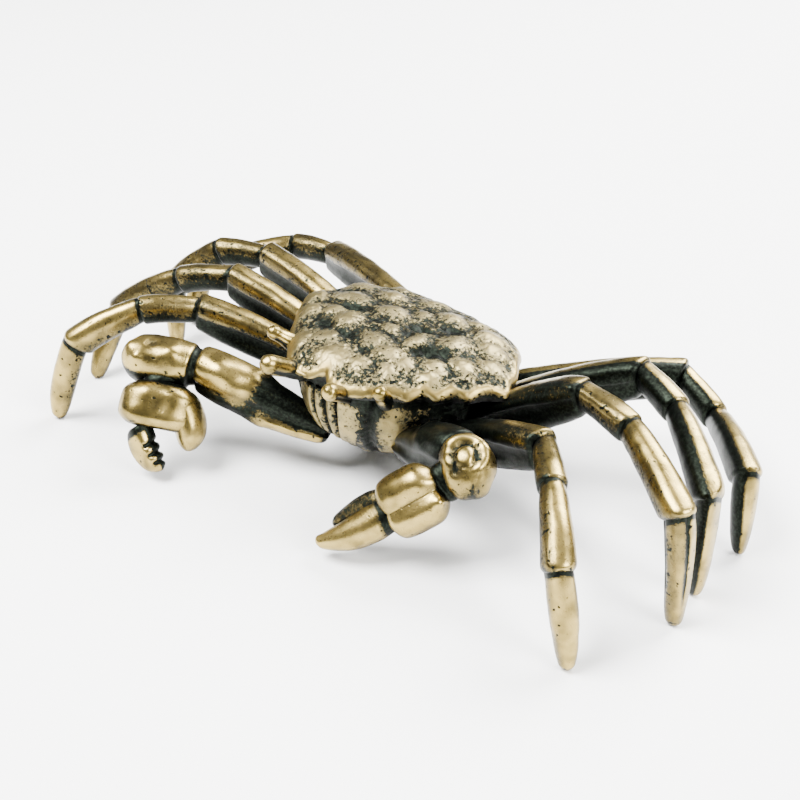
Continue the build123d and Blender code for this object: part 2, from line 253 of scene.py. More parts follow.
def rounding(distance: Array, radius: float, half: float, tip: bool = False) -> Array:
    """Share of a section that is left near a rounded end.

    Within one radius of the end the section draws in on a quarter circle, by one radius at a fillet
    and by all of its half size at a tip.

    Args:
        distance: Distances from the end.
        radius: Radius of the fillet, or length of the tip.
        half: Mean half size of the section.
        tip: Whether the end is a tip.

    Returns:
        One share for each distance.
    """
    share = np.clip(distance / radius, 0, 1)
    depth = 1.0 if tip else min(radius / half, 1.0)
    return 1 - depth * (1 - np.sqrt(1 - (1 - share) ** 2)) * CLOSING


def mirrored(half: Table, right_half: Table = ()) -> Array:
    """Closed outline, clockwise from the front seen from above.

    Args:
        half: The left half, rows of (to the left, ahead), from front to back.
        right_half: The right half in the same way, where it differs.

    Returns:
        The outline's points, one a row.
    """
    left, right = np.array(half, float), np.array(right_half or half, float)
    return np.vstack([left, right[-2:0:-1] * (-1, 1)])


@dataclass
class Casting:
    """One piece of the crab: closed grids whose points have a place, a patina and a tint."""

    node: str
    grids: list[Array] = field(default_factory=list)

    def add(self, grid: Array, patina: Array, tint: Array | float = 0.0) -> Casting:
        """Add one closed grid.

        Args:
            grid: Places in millimetres; the rows end in poles and the columns close into a ring.
            patina: Share of dark patina at each point, with the limbs' painted shadow and painted dark
                reflection in it.
            tint: Share of the shell's tone at each point, or one share for all.

        Returns:
            The casting itself.
        """
        shades = np.clip(np.stack(np.broadcast_arrays(patina, tint), axis=-1), 0, 1)
        self.grids.append(np.concatenate([grid, shades], axis=-1))
        return self

    def finish(self, brass: bpy.types.Material) -> bpy.types.Object:
        """Make the mesh and hand it to the frame.

        Neighbours in a grid make quads, and a pole at the mean of the first and last row closes it
        with triangles.

        Args:
            brass: Finish of the casting.

        Returns:
            The object, at the origin with its place in its mesh.
        """
        points, faces, base = [], [], 0
        for grid in self.grids:
            rows, columns = grid.shape[:2]
            index = base + np.arange(rows * columns).reshape(rows, columns)
            after = np.roll(index, -1, axis=1)
            quads = np.stack([index[:-1], index[1:], after[1:], after[:-1]], axis=-1).reshape(-1, 4)
            first, last = base + rows * columns, base + rows * columns + 1
            starts = np.stack([np.full(columns, first), index[0], after[0]], axis=-1)
            ends = np.stack([np.full(columns, last), after[-1], index[-1]], axis=-1)
            faces += quads.tolist() + starts.tolist() + ends.tolist()
            points += [grid.reshape(rows * columns, -1), grid[:1].mean(axis=1), grid[-1:].mean(axis=1)]
            base += rows * columns + 2
        places, shades = np.split(np.vstack(points), [3], axis=1)
        mesh = bpy.data.meshes.new(f"{self.node}_casting")
        mesh.from_pydata((inside_room(places) * MM).tolist(), [], faces)
        for name, values in zip(("patina", "tint"), shades.T):
            layer = mesh.attributes.new(name, "FLOAT", "POINT")
            layer.data.foreach_set("value", values.astype(np.float32))
        mesh.polygons.foreach_set("use_smooth", np.ones(len(mesh.polygons), bool))
        mesh.materials.append(brass)
        piece = bpy.data.objects.new(mesh.name, mesh)
        bpy.context.scene.collection.objects.link(piece)
        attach(piece, ROOT)
        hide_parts(self.node)
        log.info("%s: %d faces", piece.name, len(mesh.polygons))
        return piece


def srgb(code: str) -> tuple[float, float, float, float]:
    """Turn an sRGB hex colour to linear.

    Args:
        code: Hex value such as #b59a5c.

    Returns:
        Linear red, green and blue, and an alpha of one.
    """
    channels = [int(code[i : i + 2], 16) / 255 for i in (1, 3, 5)]
    linear = [c / 12.92 if c <= 0.04045 else ((c + 0.055) / 1.055) ** 2.4 for c in channels]
    return (*linear, 1.0)


def add_node(
    tree: bpy.types.NodeTree,
    kind: str,
    inputs: dict,
    output: str | int | None = None,
    **settings: str,
) -> bpy.types.NodeSocket | None:
    """Add a node with its settings, values and links.

    Args:
        tree: Node tree of the material or world.
        kind: Blender's name of the node type, without ShaderNode.
        inputs: Values, or output sockets to link, by input name or index.
        output: Name or index of the output to go on with.
        **settings: Attributes of the node.

    Returns:
        The output's socket, or None where none is asked for.
    """
    node = tree.nodes.new(f"ShaderNode{kind}")
    for name, value in settings.items():
        setattr(node, name, value)
    for name, value in inputs.items():
        if isinstance(value, bpy.types.NodeSocket):
            tree.links.new(value, node.inputs[name])
        else:
            node.inputs[name].default_value = value
    return None if output is None else node.outputs[output]


@dataclass(frozen=True)
class AntiqueBrass:
    """Yellow brass, sand cast, dipped in a dark sulphide patina and rubbed back on its high spots.

    What the eye gets: satin gold with soft broad reflections on the crowns, olive to brown where the
    rubbing stops, with the brown also standing in as painted dark reflection along the limbs' flanks,
    and a half-gloss near-black in every seam and hollow, speckled where the sand left pits. Sizes are
    in millimetres; the speckle is drawn coarser than real sand so that it shows.
    """

    name: str
    gold: str = "#a18c50"
    olive: str = "#6b5d33"
    # Brown where the rubbing stops, and painted dark reflection along the limbs' flanks
    brown: str = "#48402a"
    shell_tone: str = "#8d815b"
    patina: str = "#0d0f0c"
    patina_bloom: str = "#20251f"
    gold_roughness: float = 0.29
    patina_roughness: float = 0.42
    shell_roughness: float = 0.1
    speckle_size: float = 0.3
    speckle_strength: float = 0.5
    speckle_roughness: float = 0.16
    grain_share: float = 0.4
    grain_depth: float = 0.02
    bump_strength: float = 0.7
    patina_depth: float = 1.2
    brown_share: float = 0.7
    cloud_size: float = 2.6
    pit_size: float = 0.55
    pit_share: float = 0.3

    def build(self) -> bpy.types.Material:
        """Build the material's nodes.

        Returns:
            The material.
        """
        material = bpy.data.materials.new(self.name)
        material.use_nodes = True
        material.node_tree.nodes.clear()
        add = partial(add_node, material.node_tree)
        place = add("TexCoord", {}, "Object")
        patina = add("Attribute", {}, "Fac", attribute_name="patina")
        tint = add("Attribute", {}, "Fac", attribute_name="tint")
        # Noise of four sizes: speckle, clouds of tone, grain of the sand, and single pits
        textures = (
            (self.speckle_size, {"Detail": 4.0, "Roughness": 0.7}),
            (self.cloud_size, {"Detail": 2.0, "Roughness": 0.5}),
            (self.grain_share * self.speckle_size, {"Detail": 2.0, "Roughness": 0.5}),
            (self.pit_size, {"Detail": 1.0, "Roughness": 0.5}),
        )
        speckle, clouds, grain, pits = (
            add("TexNoise", {"Vector": place, "Scale": 1 / (size * MM), **detail}, "Fac")
            for size, detail in textures
        )
        # The dark share: the patina attribute, with the painted shadow and painted dark reflection in it,
        # broken up by the speckle, and the pits
        shift = {0: speckle, 1: 2 * self.speckle_strength, 2: -self.speckle_strength}
        speckle_off = add("Math", shift, 0, operation="MULTIPLY_ADD")
        broken = add("Math", {0: patina, 1: speckle_off}, 0, operation="ADD")
        pitted = add("Math", {0: patina, 1: self.pit_share, 2: pits}, 0, operation="MULTIPLY_ADD")
        # Smooth steps of what each pattern reads, from one value to another
        eased = {"interpolation_type": "SMOOTHSTEP"}
        veil, pit, gold_share, brown_rub_and_reflection, bloom_share = (
            add("MapRange", {"Value": value, "From Min": low, "From Max": high}, 0, **eased)
            for value, low, high in (
                (broken, 0.28, 0.56),
                (pitted, 0.7, 0.78),
                (clouds, 0.3, 0.6),
                (patina, 0.05, 0.3),
                (speckle, 0.4, 0.7),
            )
        )
        dark = add("Math", {0: veil, 1: pit}, 0, operation="MAXIMUM")
        # Brown share: the edge of the rubbing, and painted dark reflection where the flanks' patina is low
        edge = add("Math", {0: brown_rub_and_reflection, 1: self.brown_share}, 0, operation="MULTIPLY")
        # Gold clouded with olive, brown towards the patina and as painted dark reflection on the flanks,
        # paler on the shell, near-black in the hollows.
        # A colour mix has its share at 0, its two colours at 6 and 7, and its result at 2.
        hollow = {0: bloom_share, 6: srgb(self.patina), 7: srgb(self.patina_bloom)}
        bloom = add("Mix", hollow, 2, data_type="RGBA")
        clouded = {0: gold_share, 6: srgb(self.olive), 7: srgb(self.gold)}
        colour = add("Mix", clouded, 2, data_type="RGBA")
        for share, tone in ((edge, srgb(self.brown)), (tint, srgb(self.shell_tone)), (dark, bloom)):
            colour = add("Mix", {0: share, 6: colour, 7: tone}, 2, data_type="RGBA")
        # Satin gold, duller patina and shell, and speckle that breaks up both
        span = {"Value": dark, "To Min": self.gold_roughness, "To Max": self.patina_roughness}
        rough = add("MapRange", span, 0, **eased)
        for value, share in ((tint, self.shell_roughness), (speckle_off, self.speckle_roughness)):
            rough = add("Math", {0: value, 1: share, 2: rough}, 0, operation="MULTIPLY_ADD")
        # Fine relief: grain and speckle, with the patina lying lower
        height = speckle
        for value, share in ((grain, 0.5), (dark, -self.patina_depth)):
            height = add("Math", {0: value, 1: share, 2: height}, 0, operation="MULTIPLY_ADD")
        relief = {"Height": height, "Strength": self.bump_strength, "Distance": self.grain_depth * MM}
        normal = add("Bump", relief, "Normal")
        surface = {"Base Color": colour, "Metallic": 1.0, "Roughness": rough, "Normal": normal}
        add("OutputMaterial", {"Surface": add("BsdfPrincipled", surface, "BSDF")})
        return material


@dataclass
class Skin:
    """Surface of a limb piece: its points and their patina, and where each lies across, up and along."""

    grid: Array
    patina: Array
    x: Array
    y: Array
    along: Array

    def move(self, amount: Array) -> None:
        """Move the surface along its normals, outwards where the amount is positive."""
        self.grid = swell(self.grid, amount)

    def bump(self, centre: Array, radius: float, height: float, patina: float = 0.0) -> None:
        """Raise a round bump, or sink a dent.

        Args:
            centre: Its place.
            radius: Its radius in millimetres.
            height: Its height, negative for a dent.
            patina: Patina it gains.
        """
        rise = bell(np.linalg.norm(self.grid - centre, axis=-1), 0.0, radius)
        self.move(height * rise)
        self.patina += patina * rise

    def spot(self, along: float, x: float, above: bool = True) -> Array:
        """Find a point of the surface.

        Args:
            along: Share of the way along the piece.
            x: Share of its half width, which counts for less than the share along.
            above: Whether the point lies on the upper half.

        Returns:
            The place of the nearest point.
        """
        across_weight, wrong_half = 0.3, 9.0
        off = (self.along - along) ** 2 + (across_weight * (self.x - x)) ** 2
        off = off + wrong_half * ((self.y > 0) != above)
        return self.grid[np.unravel_index(np.argmin(off), off.shape)]


@dataclass(frozen=True)
class LimbForm:
    """Shape of a limb piece between its two joints.

    The section is its half outline from ridge to keel, (across, up, patina) in shares of half the
    width and half the height, its low patina on the flanks being painted dark reflection as well as
    patina; the profile is (along, width share, height share). The seams, lumps and stains are those
    of the casting.
    """

    width: float
    height: float
    section: Table
    end_section: Table
    profile: Table
    start: float = 0.0
    first_fillet: float = 0.35
    last_fillet: float = 0.5
    bow: float = 0.0
    lump: float = 0.07
    lump_size: float = 2.6
    dimple_share: float = 0.25
    dimple_size: float = 0.8
    stain: float = 0.16
    stain_size: float = 1.3
    # How far the piece reaches into the one before it, so that no gap shows in the seam
    tuck: float = 0.9
    rows: int = 76
    per_span: int = 4
    seam_reach: float = 0.3
    seam_patina: float = 0.9
    far_seam_share: float = 0.4
    mitre_reach: float = 0.24
    # Shares along between which the section changes into that of the end
    change_from: float = 0.45
    change_to: float = 0.9

    def ring(self, section: Table) -> Array:
        """Closed ring through a half outline and its mirror image, with its patina."""
        half = np.array(section, float)
        return ring_through(np.vstack([half, half[-2:0:-1] * (-1, 1, 1)]), self.per_span)

    def surface(
        self,
        first: Array,
        last: Array,
        level_axis: Array,
        first_cut: Array | None = None,
        last_cut: Array | None = None,
        tip: bool = False,
        seed: int = 0,
    ) -> Skin:
        """Sweep the section along the piece.

        A point is the axis point plus the ring's share across and up; the ring blends into that of
        the end section over the outer half. Near a joint the point slides along the axis until its
        section lies in the joint's plane, and within one fillet of the end the ring draws in on a
        quarter circle. Cast lumps of lattice noise move it along its normal.

        Args:
            first: Inner joint's place.
            last: Outer joint's place.
            level_axis: Axis across the limb.
            first_cut: Normal of the inner joint's plane, or None for a square end.
            last_cut: Normal of the outer joint's plane, or None.
            tip: Whether the outer end is round instead of filleted.
            seed: Picks the lumps.

        Returns:
            The surface.
        """
        reach = last - first
        length = np.linalg.norm(reach)
        ahead = reach / length
        across = unit(level_axis - ahead * (level_axis @ ahead))
        upward = np.cross(ahead, across)
        t = 0.5 - 0.5 * np.cos(np.pi * np.arange(self.rows) / (self.rows - 1))
        joint = 0 if first_cut is None else self.tuck
        start = self.start - joint / length
        along = start + (1 - start) * t
        width, height = curve_through(self.profile, along).T
        blend = ramp(along, self.change_from, self.change_to)[:, None, None]
        rings = self.ring(self.section) * (1 - blend) + self.ring(self.end_section) * blend
        from_start, from_end = (along - start) * length, (1 - along) * length
        half = 0.25 * (self.width + self.height)
        shrink = rounding(from_start, self.first_fillet, half)
        shrink = shrink * rounding(from_end, half * height[-1] if tip else self.last_fillet, half, tip)
        x = rings[..., 0] * (width * shrink * self.width / 2)[:, None]
        y = rings[..., 1] * (height * shrink * self.height / 2)[:, None]
        slide = np.zeros_like(x)
        for cut, distance in ((first_cut, along), (last_cut, 1 - along)):
            if cut is not None:
                offset = -(across @ cut * x + upward @ cut * y) / (ahead @ cut)
                slide += ramp(distance, self.mitre_reach, 0.0)[:, None] * offset
        bow = self.bow * length * 4 * along * (1 - along)
        centre = first + ahead * (along * length)[:, None] + upward * bow[:, None]
        grid = centre[:, None] + across * x[..., None] + upward * y[..., None] + ahead * slide[..., None]
        seam = bell(from_start, joint, self.seam_reach)
        if not tip:
            seam += self.far_seam_share * bell(from_end, 0.0, self.seam_reach)
        stain = self.stain * rough_noise(grid, self.stain_size, seed + 9)
        patina = rings[..., 2] + self.seam_patina * seam[:, None] + stain
        skin = Skin(grid, patina, rings[..., 0], rings[..., 1], along[:, None] + 0 * x)
        dimples = self.dimple_share * lattice_noise(grid, self.dimple_size, seed + 5)
        skin.move(self.lump * (rough_noise(grid, self.lump_size, seed) + dimples))
        return skin


def tapered(width: float, height: float, section: Table, profile: Table, **more: float) -> LimbForm:
    """Limb form with one section all along."""
    return LimbForm(width, height, section, section, profile, **more)


# Half outlines of the legs' pieces from ridge to keel: across, up, patina. The patina rises towards the
# keel, and its low values on the flanks are painted dark reflection as well as patina
THIGH_SECTION = (
    (0, 1, 0.0), (0.5, 0.95, 0.0), (0.86, 0.78, 0.0), (1.0, 0.55, 0.05), (0.96, 0.38, 0.35),
    (0.72, 0.28, 1.0), (0.62, 0.0, 1.0), (0.68, -0.28, 0.95), (0.84, -0.46, 0.8), (0.86, -0.7, 0.68),
    (0.5, -0.94, 0.75), (0, -1, 0.85),
)
THIGH_END_SECTION = (
    (0, 1, 0.0), (0.5, 0.95, 0.0), (0.86, 0.78, 0.0), (1.0, 0.5, 0.0), (1.0, 0.26, 0.05),
    (0.94, 0.12, 0.3), (0.9, -0.08, 0.7), (0.9, -0.3, 0.8), (0.88, -0.5, 0.7), (0.8, -0.72, 0.68),
    (0.5, -0.94, 0.75), (0, -1, 0.85),
)
KNEE_SECTION = (
    (0, 1, 0.0), (0.45, 0.93, 0.0), (0.8, 0.7, 0.06), (0.97, 0.4, 0.14), (1.0, 0.12, 0.2),
    (0.98, -0.1, 0.28), (0.95, -0.3, 0.38), (0.86, -0.54, 0.5), (0.68, -0.78, 0.65),
    (0.4, -0.94, 0.75), (0, -1, 0.85),
)
SHIN_SECTION = (
    (0, 1, 0.0), (0.4, 0.94, 0.0), (0.74, 0.72, 0.06), (0.95, 0.38, 0.14), (1.0, 0.0, 0.2),
    (0.93, -0.36, 0.28), (0.74, -0.7, 0.45), (0.4, -0.94, 0.65), (0, -1, 0.8),
)
SHIN_END_SECTION = (
    (0, 1, 0.0), (0.38, 0.96, 0.0), (0.75, 0.77, 0.03), (0.96, 0.4, 0.1), (1.0, 0.02, 0.17),
    (0.95, -0.34, 0.26), (0.76, -0.68, 0.4), (0.42, -0.93, 0.6), (0, -1, 0.75),
)
TOE_SECTION = (
    (0, 1, 0.0), (0.42, 0.92, 0.0), (0.78, 0.64, 0.06), (0.97, 0.24, 0.14), (0.97, -0.2, 0.2),
    (0.82, -0.58, 0.3), (0.48, -0.9, 0.42), (0, -1, 0.55),
)

THIGH = LimbForm(
    3.1, 4.9, THIGH_SECTION, THIGH_END_SECTION,
    (
        (-0.16, 0.8, 0.72), (0.1, 0.88, 0.82), (0.4, 0.95, 0.95), (0.7, 1.0, 1.0), (0.9, 1.0, 0.9),
        (1.0, 0.98, 0.8),
    ),
    start=-0.14, rows=96, bow=0.012, last_fillet=0.6,
)
KNEE = LimbForm(
    2.8, 3.2, KNEE_SECTION, KNEE_SECTION,
    (
        (-0.2, 0.86, 0.86), (0, 0.86, 0.9), (0.25, 0.94, 0.95), (0.55, 1.0, 1.0), (0.85, 1.03, 1.03),
        (1.0, 1.0, 1.0),
    ),
    bow=0.035, last_fillet=0.4,
)
SHIN = LimbForm(
    3.0, 3.5, SHIN_SECTION, SHIN_END_SECTION,
    (
        (-0.1, 0.8, 0.8), (0, 0.8, 0.82), (0.12, 0.88, 0.9), (0.35, 0.96, 0.97), (0.7, 1.05, 1.05),
        (0.9, 1.07, 1.06), (1.0, 1.02, 1.0),
    ),
    bow=0.045, last_fillet=0.75,
)
TOE = LimbForm(
    2.5, 2.9, TOE_SECTION, TOE_SECTION,
    (
        (-0.12, 1.02, 0.96), (0, 1.02, 0.98), (0.15, 1.07, 1.02), (0.4, 1.06, 1.02),
        (0.65, 0.94, 0.94), (0.85, 0.74, 0.76), (1.0, 0.48, 0.5),
    ),
    bow=0.03,
)

LEG_FORMS = {"thigh": THIGH, "knee": KNEE, "shin": SHIN, "toe": TOE}


def stance_place(across: float, ahead: float, height: float) -> Array:
    """Turn a place level with the ground from the body's own directions to the frame.

    Args:
        across: Millimetres to its left of the body's middle.
        ahead: Millimetres ahead of it.
        height: Millimetres over the ground.

    Returns:
        The place.
    """
    turn = radians(BODY_TURN)
    return np.array([
        BODY_MIDDLE[0] + across * cos(turn) + ahead * sin(turn),
        BODY_MIDDLE[1] + across * sin(turn) - ahead * cos(turn),
        height,
    ])


def body_place(across: Array, ahead: Array, height: Array) -> Array:
    """Turn places in the leaning body to the frame.

    The body rolls and pitches about its middle at the carapace's floor and is then turned about the
    upright, so its leftward, tailward and upward axes are the columns of the turned rotation.

    Args:
        across: Millimetres to the body's left.
        ahead: Millimetres ahead of its middle.
        height: Millimetres over the ground, if it stood level.

    Returns:
        The places, last axis x, y, z.
    """
    turn, roll, pitch = radians(BODY_TURN), radians(BODY_ROLL), radians(BODY_PITCH)
    turned = np.array([[cos(turn), -sin(turn), 0], [sin(turn), cos(turn), 0], [0, 0, 1]])
    leftward = turned @ (cos(roll), sin(pitch) * sin(roll), -cos(pitch) * sin(roll))
    tailward = turned @ (0, cos(pitch), sin(pitch))
    upward = turned @ (sin(roll), -sin(pitch) * cos(roll), cos(pitch) * cos(roll))
    across, ahead, height = (part[..., None] for part in np.broadcast_arrays(across, ahead, height))
    pivot = np.array([*BODY_MIDDLE, CARAPACE_FLOOR])
    return pivot + leftward * across - tailward * ahead + upward * (height - CARAPACE_FLOOR)


@dataclass
class Leg:
    """One walking leg: thigh, knee, shin and toe."""

    side: Side
    number: int
    # Turn and rise of each piece in degrees, and the lengths of all but the toe, which ends on the ground
    poses: Table
    lengths: Point
    # Hip: out from the body's middle, ahead, height
    hip: Point
    # Painted shadow of the shell's overhang on the thigh: share of the thigh from which its back is left
    # bright, the strength of the painted shadow before that, and its fade
    lit_from: float = 0.0
    root_shadow: float = 0.9
    shadow_fade: float = 0.3
    # Patina and painted dark reflection on each piece's front flank, and the shares ahead between which it
    # starts
    front: tuple[float, ...] = (0.3, 0.3, 0.2, 0.1)
    flank: tuple[float, float] = (0.1, 0.5)
    # Crease along the toe: its strength, depth in millimetres, share ahead, width, and where it ends
    toe_crease: float = 0.0
    crease_depth: float = 0.3
    crease_place: float = 0.55
    crease_width: float = 0.16
    crease_end: tuple[float, float] = (0.85, 0.55)

    def layout(self) -> tuple[list[Array], list[Array], list[Array]]:
        """Lay the leg out from the hip to the ground.

        Returns:
            The joints' places, the pieces' headings and their level axes.
        """
        ahead = [heading(self.side, turn, rise) for turn, rise in self.poses]
        levels = [level(self.side, turn) for turn, _ in self.poses]
        out, along, height = self.hip
        places = [stance_place(self.side.value * out, along, height)]
        for direction, length in zip(ahead, self.lengths):
            places.append(places[-1] + direction * length)
        places.append(places[-1] + ahead[-1] * (places[-1][2] / -ahead[-1][2]))
        return places, ahead, levels

    def build(self, brass: bpy.types.Material) -> None:
        """Build the leg's four castings.

        Two pieces meet in the plane that halves the angle between them. The toe's crease is a groove
        with a bell's section in its front flank.

        Args:
            brass: Finish of the castings.
        """
        places, ahead, levels = self.layout()
        for i, (piece, form) in enumerate(LEG_FORMS.items()):
            first_cut = unit(ahead[i - 1] + ahead[i]) if i > 0 else None
            last_cut = unit(ahead[i] + ahead[i + 1]) if i + 1 < len(ahead) else None
            seed = 40 * (self.side.value + 2) + 10 * self.number + i
            first, last, tip = places[i], places[i + 1], piece == "toe"
            skin = form.surface(first, last, levels[i], first_cut, last_cut, tip, seed)
            forward = -self.side.value * skin.x
            # Front flank darkened by patina together with painted dark reflection
            skin.patina += self.front[i] * ramp(forward, *self.flank)
            if piece == "thigh":
                # Painted shadow of the shell's overhang: dark over the thigh's root, fading out before its
                # bright share
                root = ramp(skin.along, self.lit_from, self.lit_from - self.shadow_fade)
                skin.patina += self.root_shadow * root
            if piece == "toe":
                crease = self.toe_crease * bell(forward, self.crease_place, self.crease_width)
                crease = crease * ramp(skin.along, *self.crease_end)
                skin.move(-self.crease_depth * crease)
                skin.patina += crease
            skin.grid[..., 2] = np.maximum(skin.grid[..., 2], 0.0)
            node = f"{self.side.label}_leg_{self.number + 1}_{piece}"
            Casting(node).add(skin.grid, skin.patina).finish(brass)


LEGS = (
    Leg(
        Side.LEFT, 0, ((15, 24), (51, 0), (52, -26), (28, -74)), (17.0, 6.4, 8.5), (8.6, 2.0, 5.8),
        lit_from=0.82, front=(0.5, 0.3, 0.3, 0.05),
    ),
    Leg(
        Side.LEFT, 1, ((1, 34), (17, -5), (35, -16), (0, -86)), (17.5, 6.6, 11.0), (8.6, -1.4, 5.6),
        lit_from=0.45, front=(0.6, 0.2, 0.15, 0.1), toe_crease=0.8,
    ),
    Leg(
        Side.LEFT, 2, ((-15, 26), (26, -10), (47, -11), (50, -94)), (19.0, 5.8, 12.2), (8.6, -4.6, 6.4),
        lit_from=0.15, front=(1.0, 0.9, 0.9, 0.9),
    ),
    Leg(
        Side.LEFT, 3, ((-39, 4), (20, -23), (51, 4), (53, -79)), (20.0, 6.0, 13.0), (8.6, -7.4, 8.0),
        lit_from=0.1, front=(1.0, 0.8, 0.7, 0.7),
    ),
    Leg(
        Side.RIGHT, 0, ((20, 19), (48, 5), (50, -25), (44, -72)), (17.0, 6.4, 8.5), (8.6, 2.0, 7.0),
        lit_from=0.1, front=(0.3, 0.2, 0.0, 0.0),
    ),
    Leg(Side.RIGHT, 1, ((10, 23), (20, -9), (21, -33), (87, -57)), (17.5, 6.6, 10.6), (8.6, -1.4, 7.2)),
    Leg(Side.RIGHT, 2, ((-6, 15), (21, 0), (18, -41), (128, -70)), (19.0, 5.8, 9.2), (8.6, -4.6, 8.5)),
    Leg(Side.RIGHT, 3, ((-22, -0.5), (6, -2), (46, -16), (80, -76)), (22.4, 6.0, 13.0), (5.2, -9.5, 10.3)),
)

# Half outlines of the claws' pieces from ridge to keel: across, up, patina. The patina rises towards the
# keel, and its low values on the flanks are painted dark reflection as well as patina
ARM_SECTION = (
    (0, 1, 0.0), (0.5, 0.92, 0.0), (0.88, 0.66, 0.0), (1.0, 0.34, 0.0), (0.94, 0.08, 0.05),
    (0.94, -0.14, 0.05), (1.0, -0.4, 0.05), (0.86, -0.72, 0.1), (0.48, -0.94, 0.3), (0, -1, 0.6),
)
WRIST_SECTION = (
    (0, 1, 0.0), (0.5, 0.9, 0.02), (0.86, 0.6, 0.08), (1.0, 0.2, 0.14), (0.96, -0.24, 0.2),
    (0.76, -0.64, 0.26), (0.42, -0.92, 0.4), (0, -1, 0.6),
)
LOBED_PALM_SECTION = (
    (0, 0.82, 0.26), (0.1, 0.87, 0.08), (0.44, 1.0, 0.0), (0.8, 0.76, 0.04), (1.0, 0.25, 0.14),
    (0.97, -0.2, 0.22), (0.76, -0.64, 0.4), (0.42, -0.92, 0.6), (0, -1, 0.8),
)
PALM_SECTION = (
    (0, 0.96, 0.0), (0.4, 0.94, 0.0), (0.8, 0.66, 0.08), (1.0, 0.2, 0.16), (0.97, -0.2, 0.26),
    (0.76, -0.64, 0.5), (0.42, -0.92, 0.7), (0, -1, 0.8),
)
DIGIT_SECTION = (
    (0, 1, 0.0), (0.42, 0.9, 0.0), (0.8, 0.6, 0.06), (1.0, 0.14, 0.16), (0.94, -0.3, 0.28),
    (0.66, -0.72, 0.45), (0.34, -0.94, 0.6), (0, -1, 0.7),
)

# Profile of the collar under a wrist: share along, share of the width, share of the height
COLLAR_PROFILE = ((0, 1, 1), (0.5, 0.95, 0.95), (1, 0.9, 0.9))


@dataclass(frozen=True)
class Mark:
    """A bump or dent of a claw piece: where it is, in shares of the piece, and its size in millimetres."""

    piece: str
    along: float
    x: float
    above: bool
    radius: float
    height: float
    patina: float = 0.0


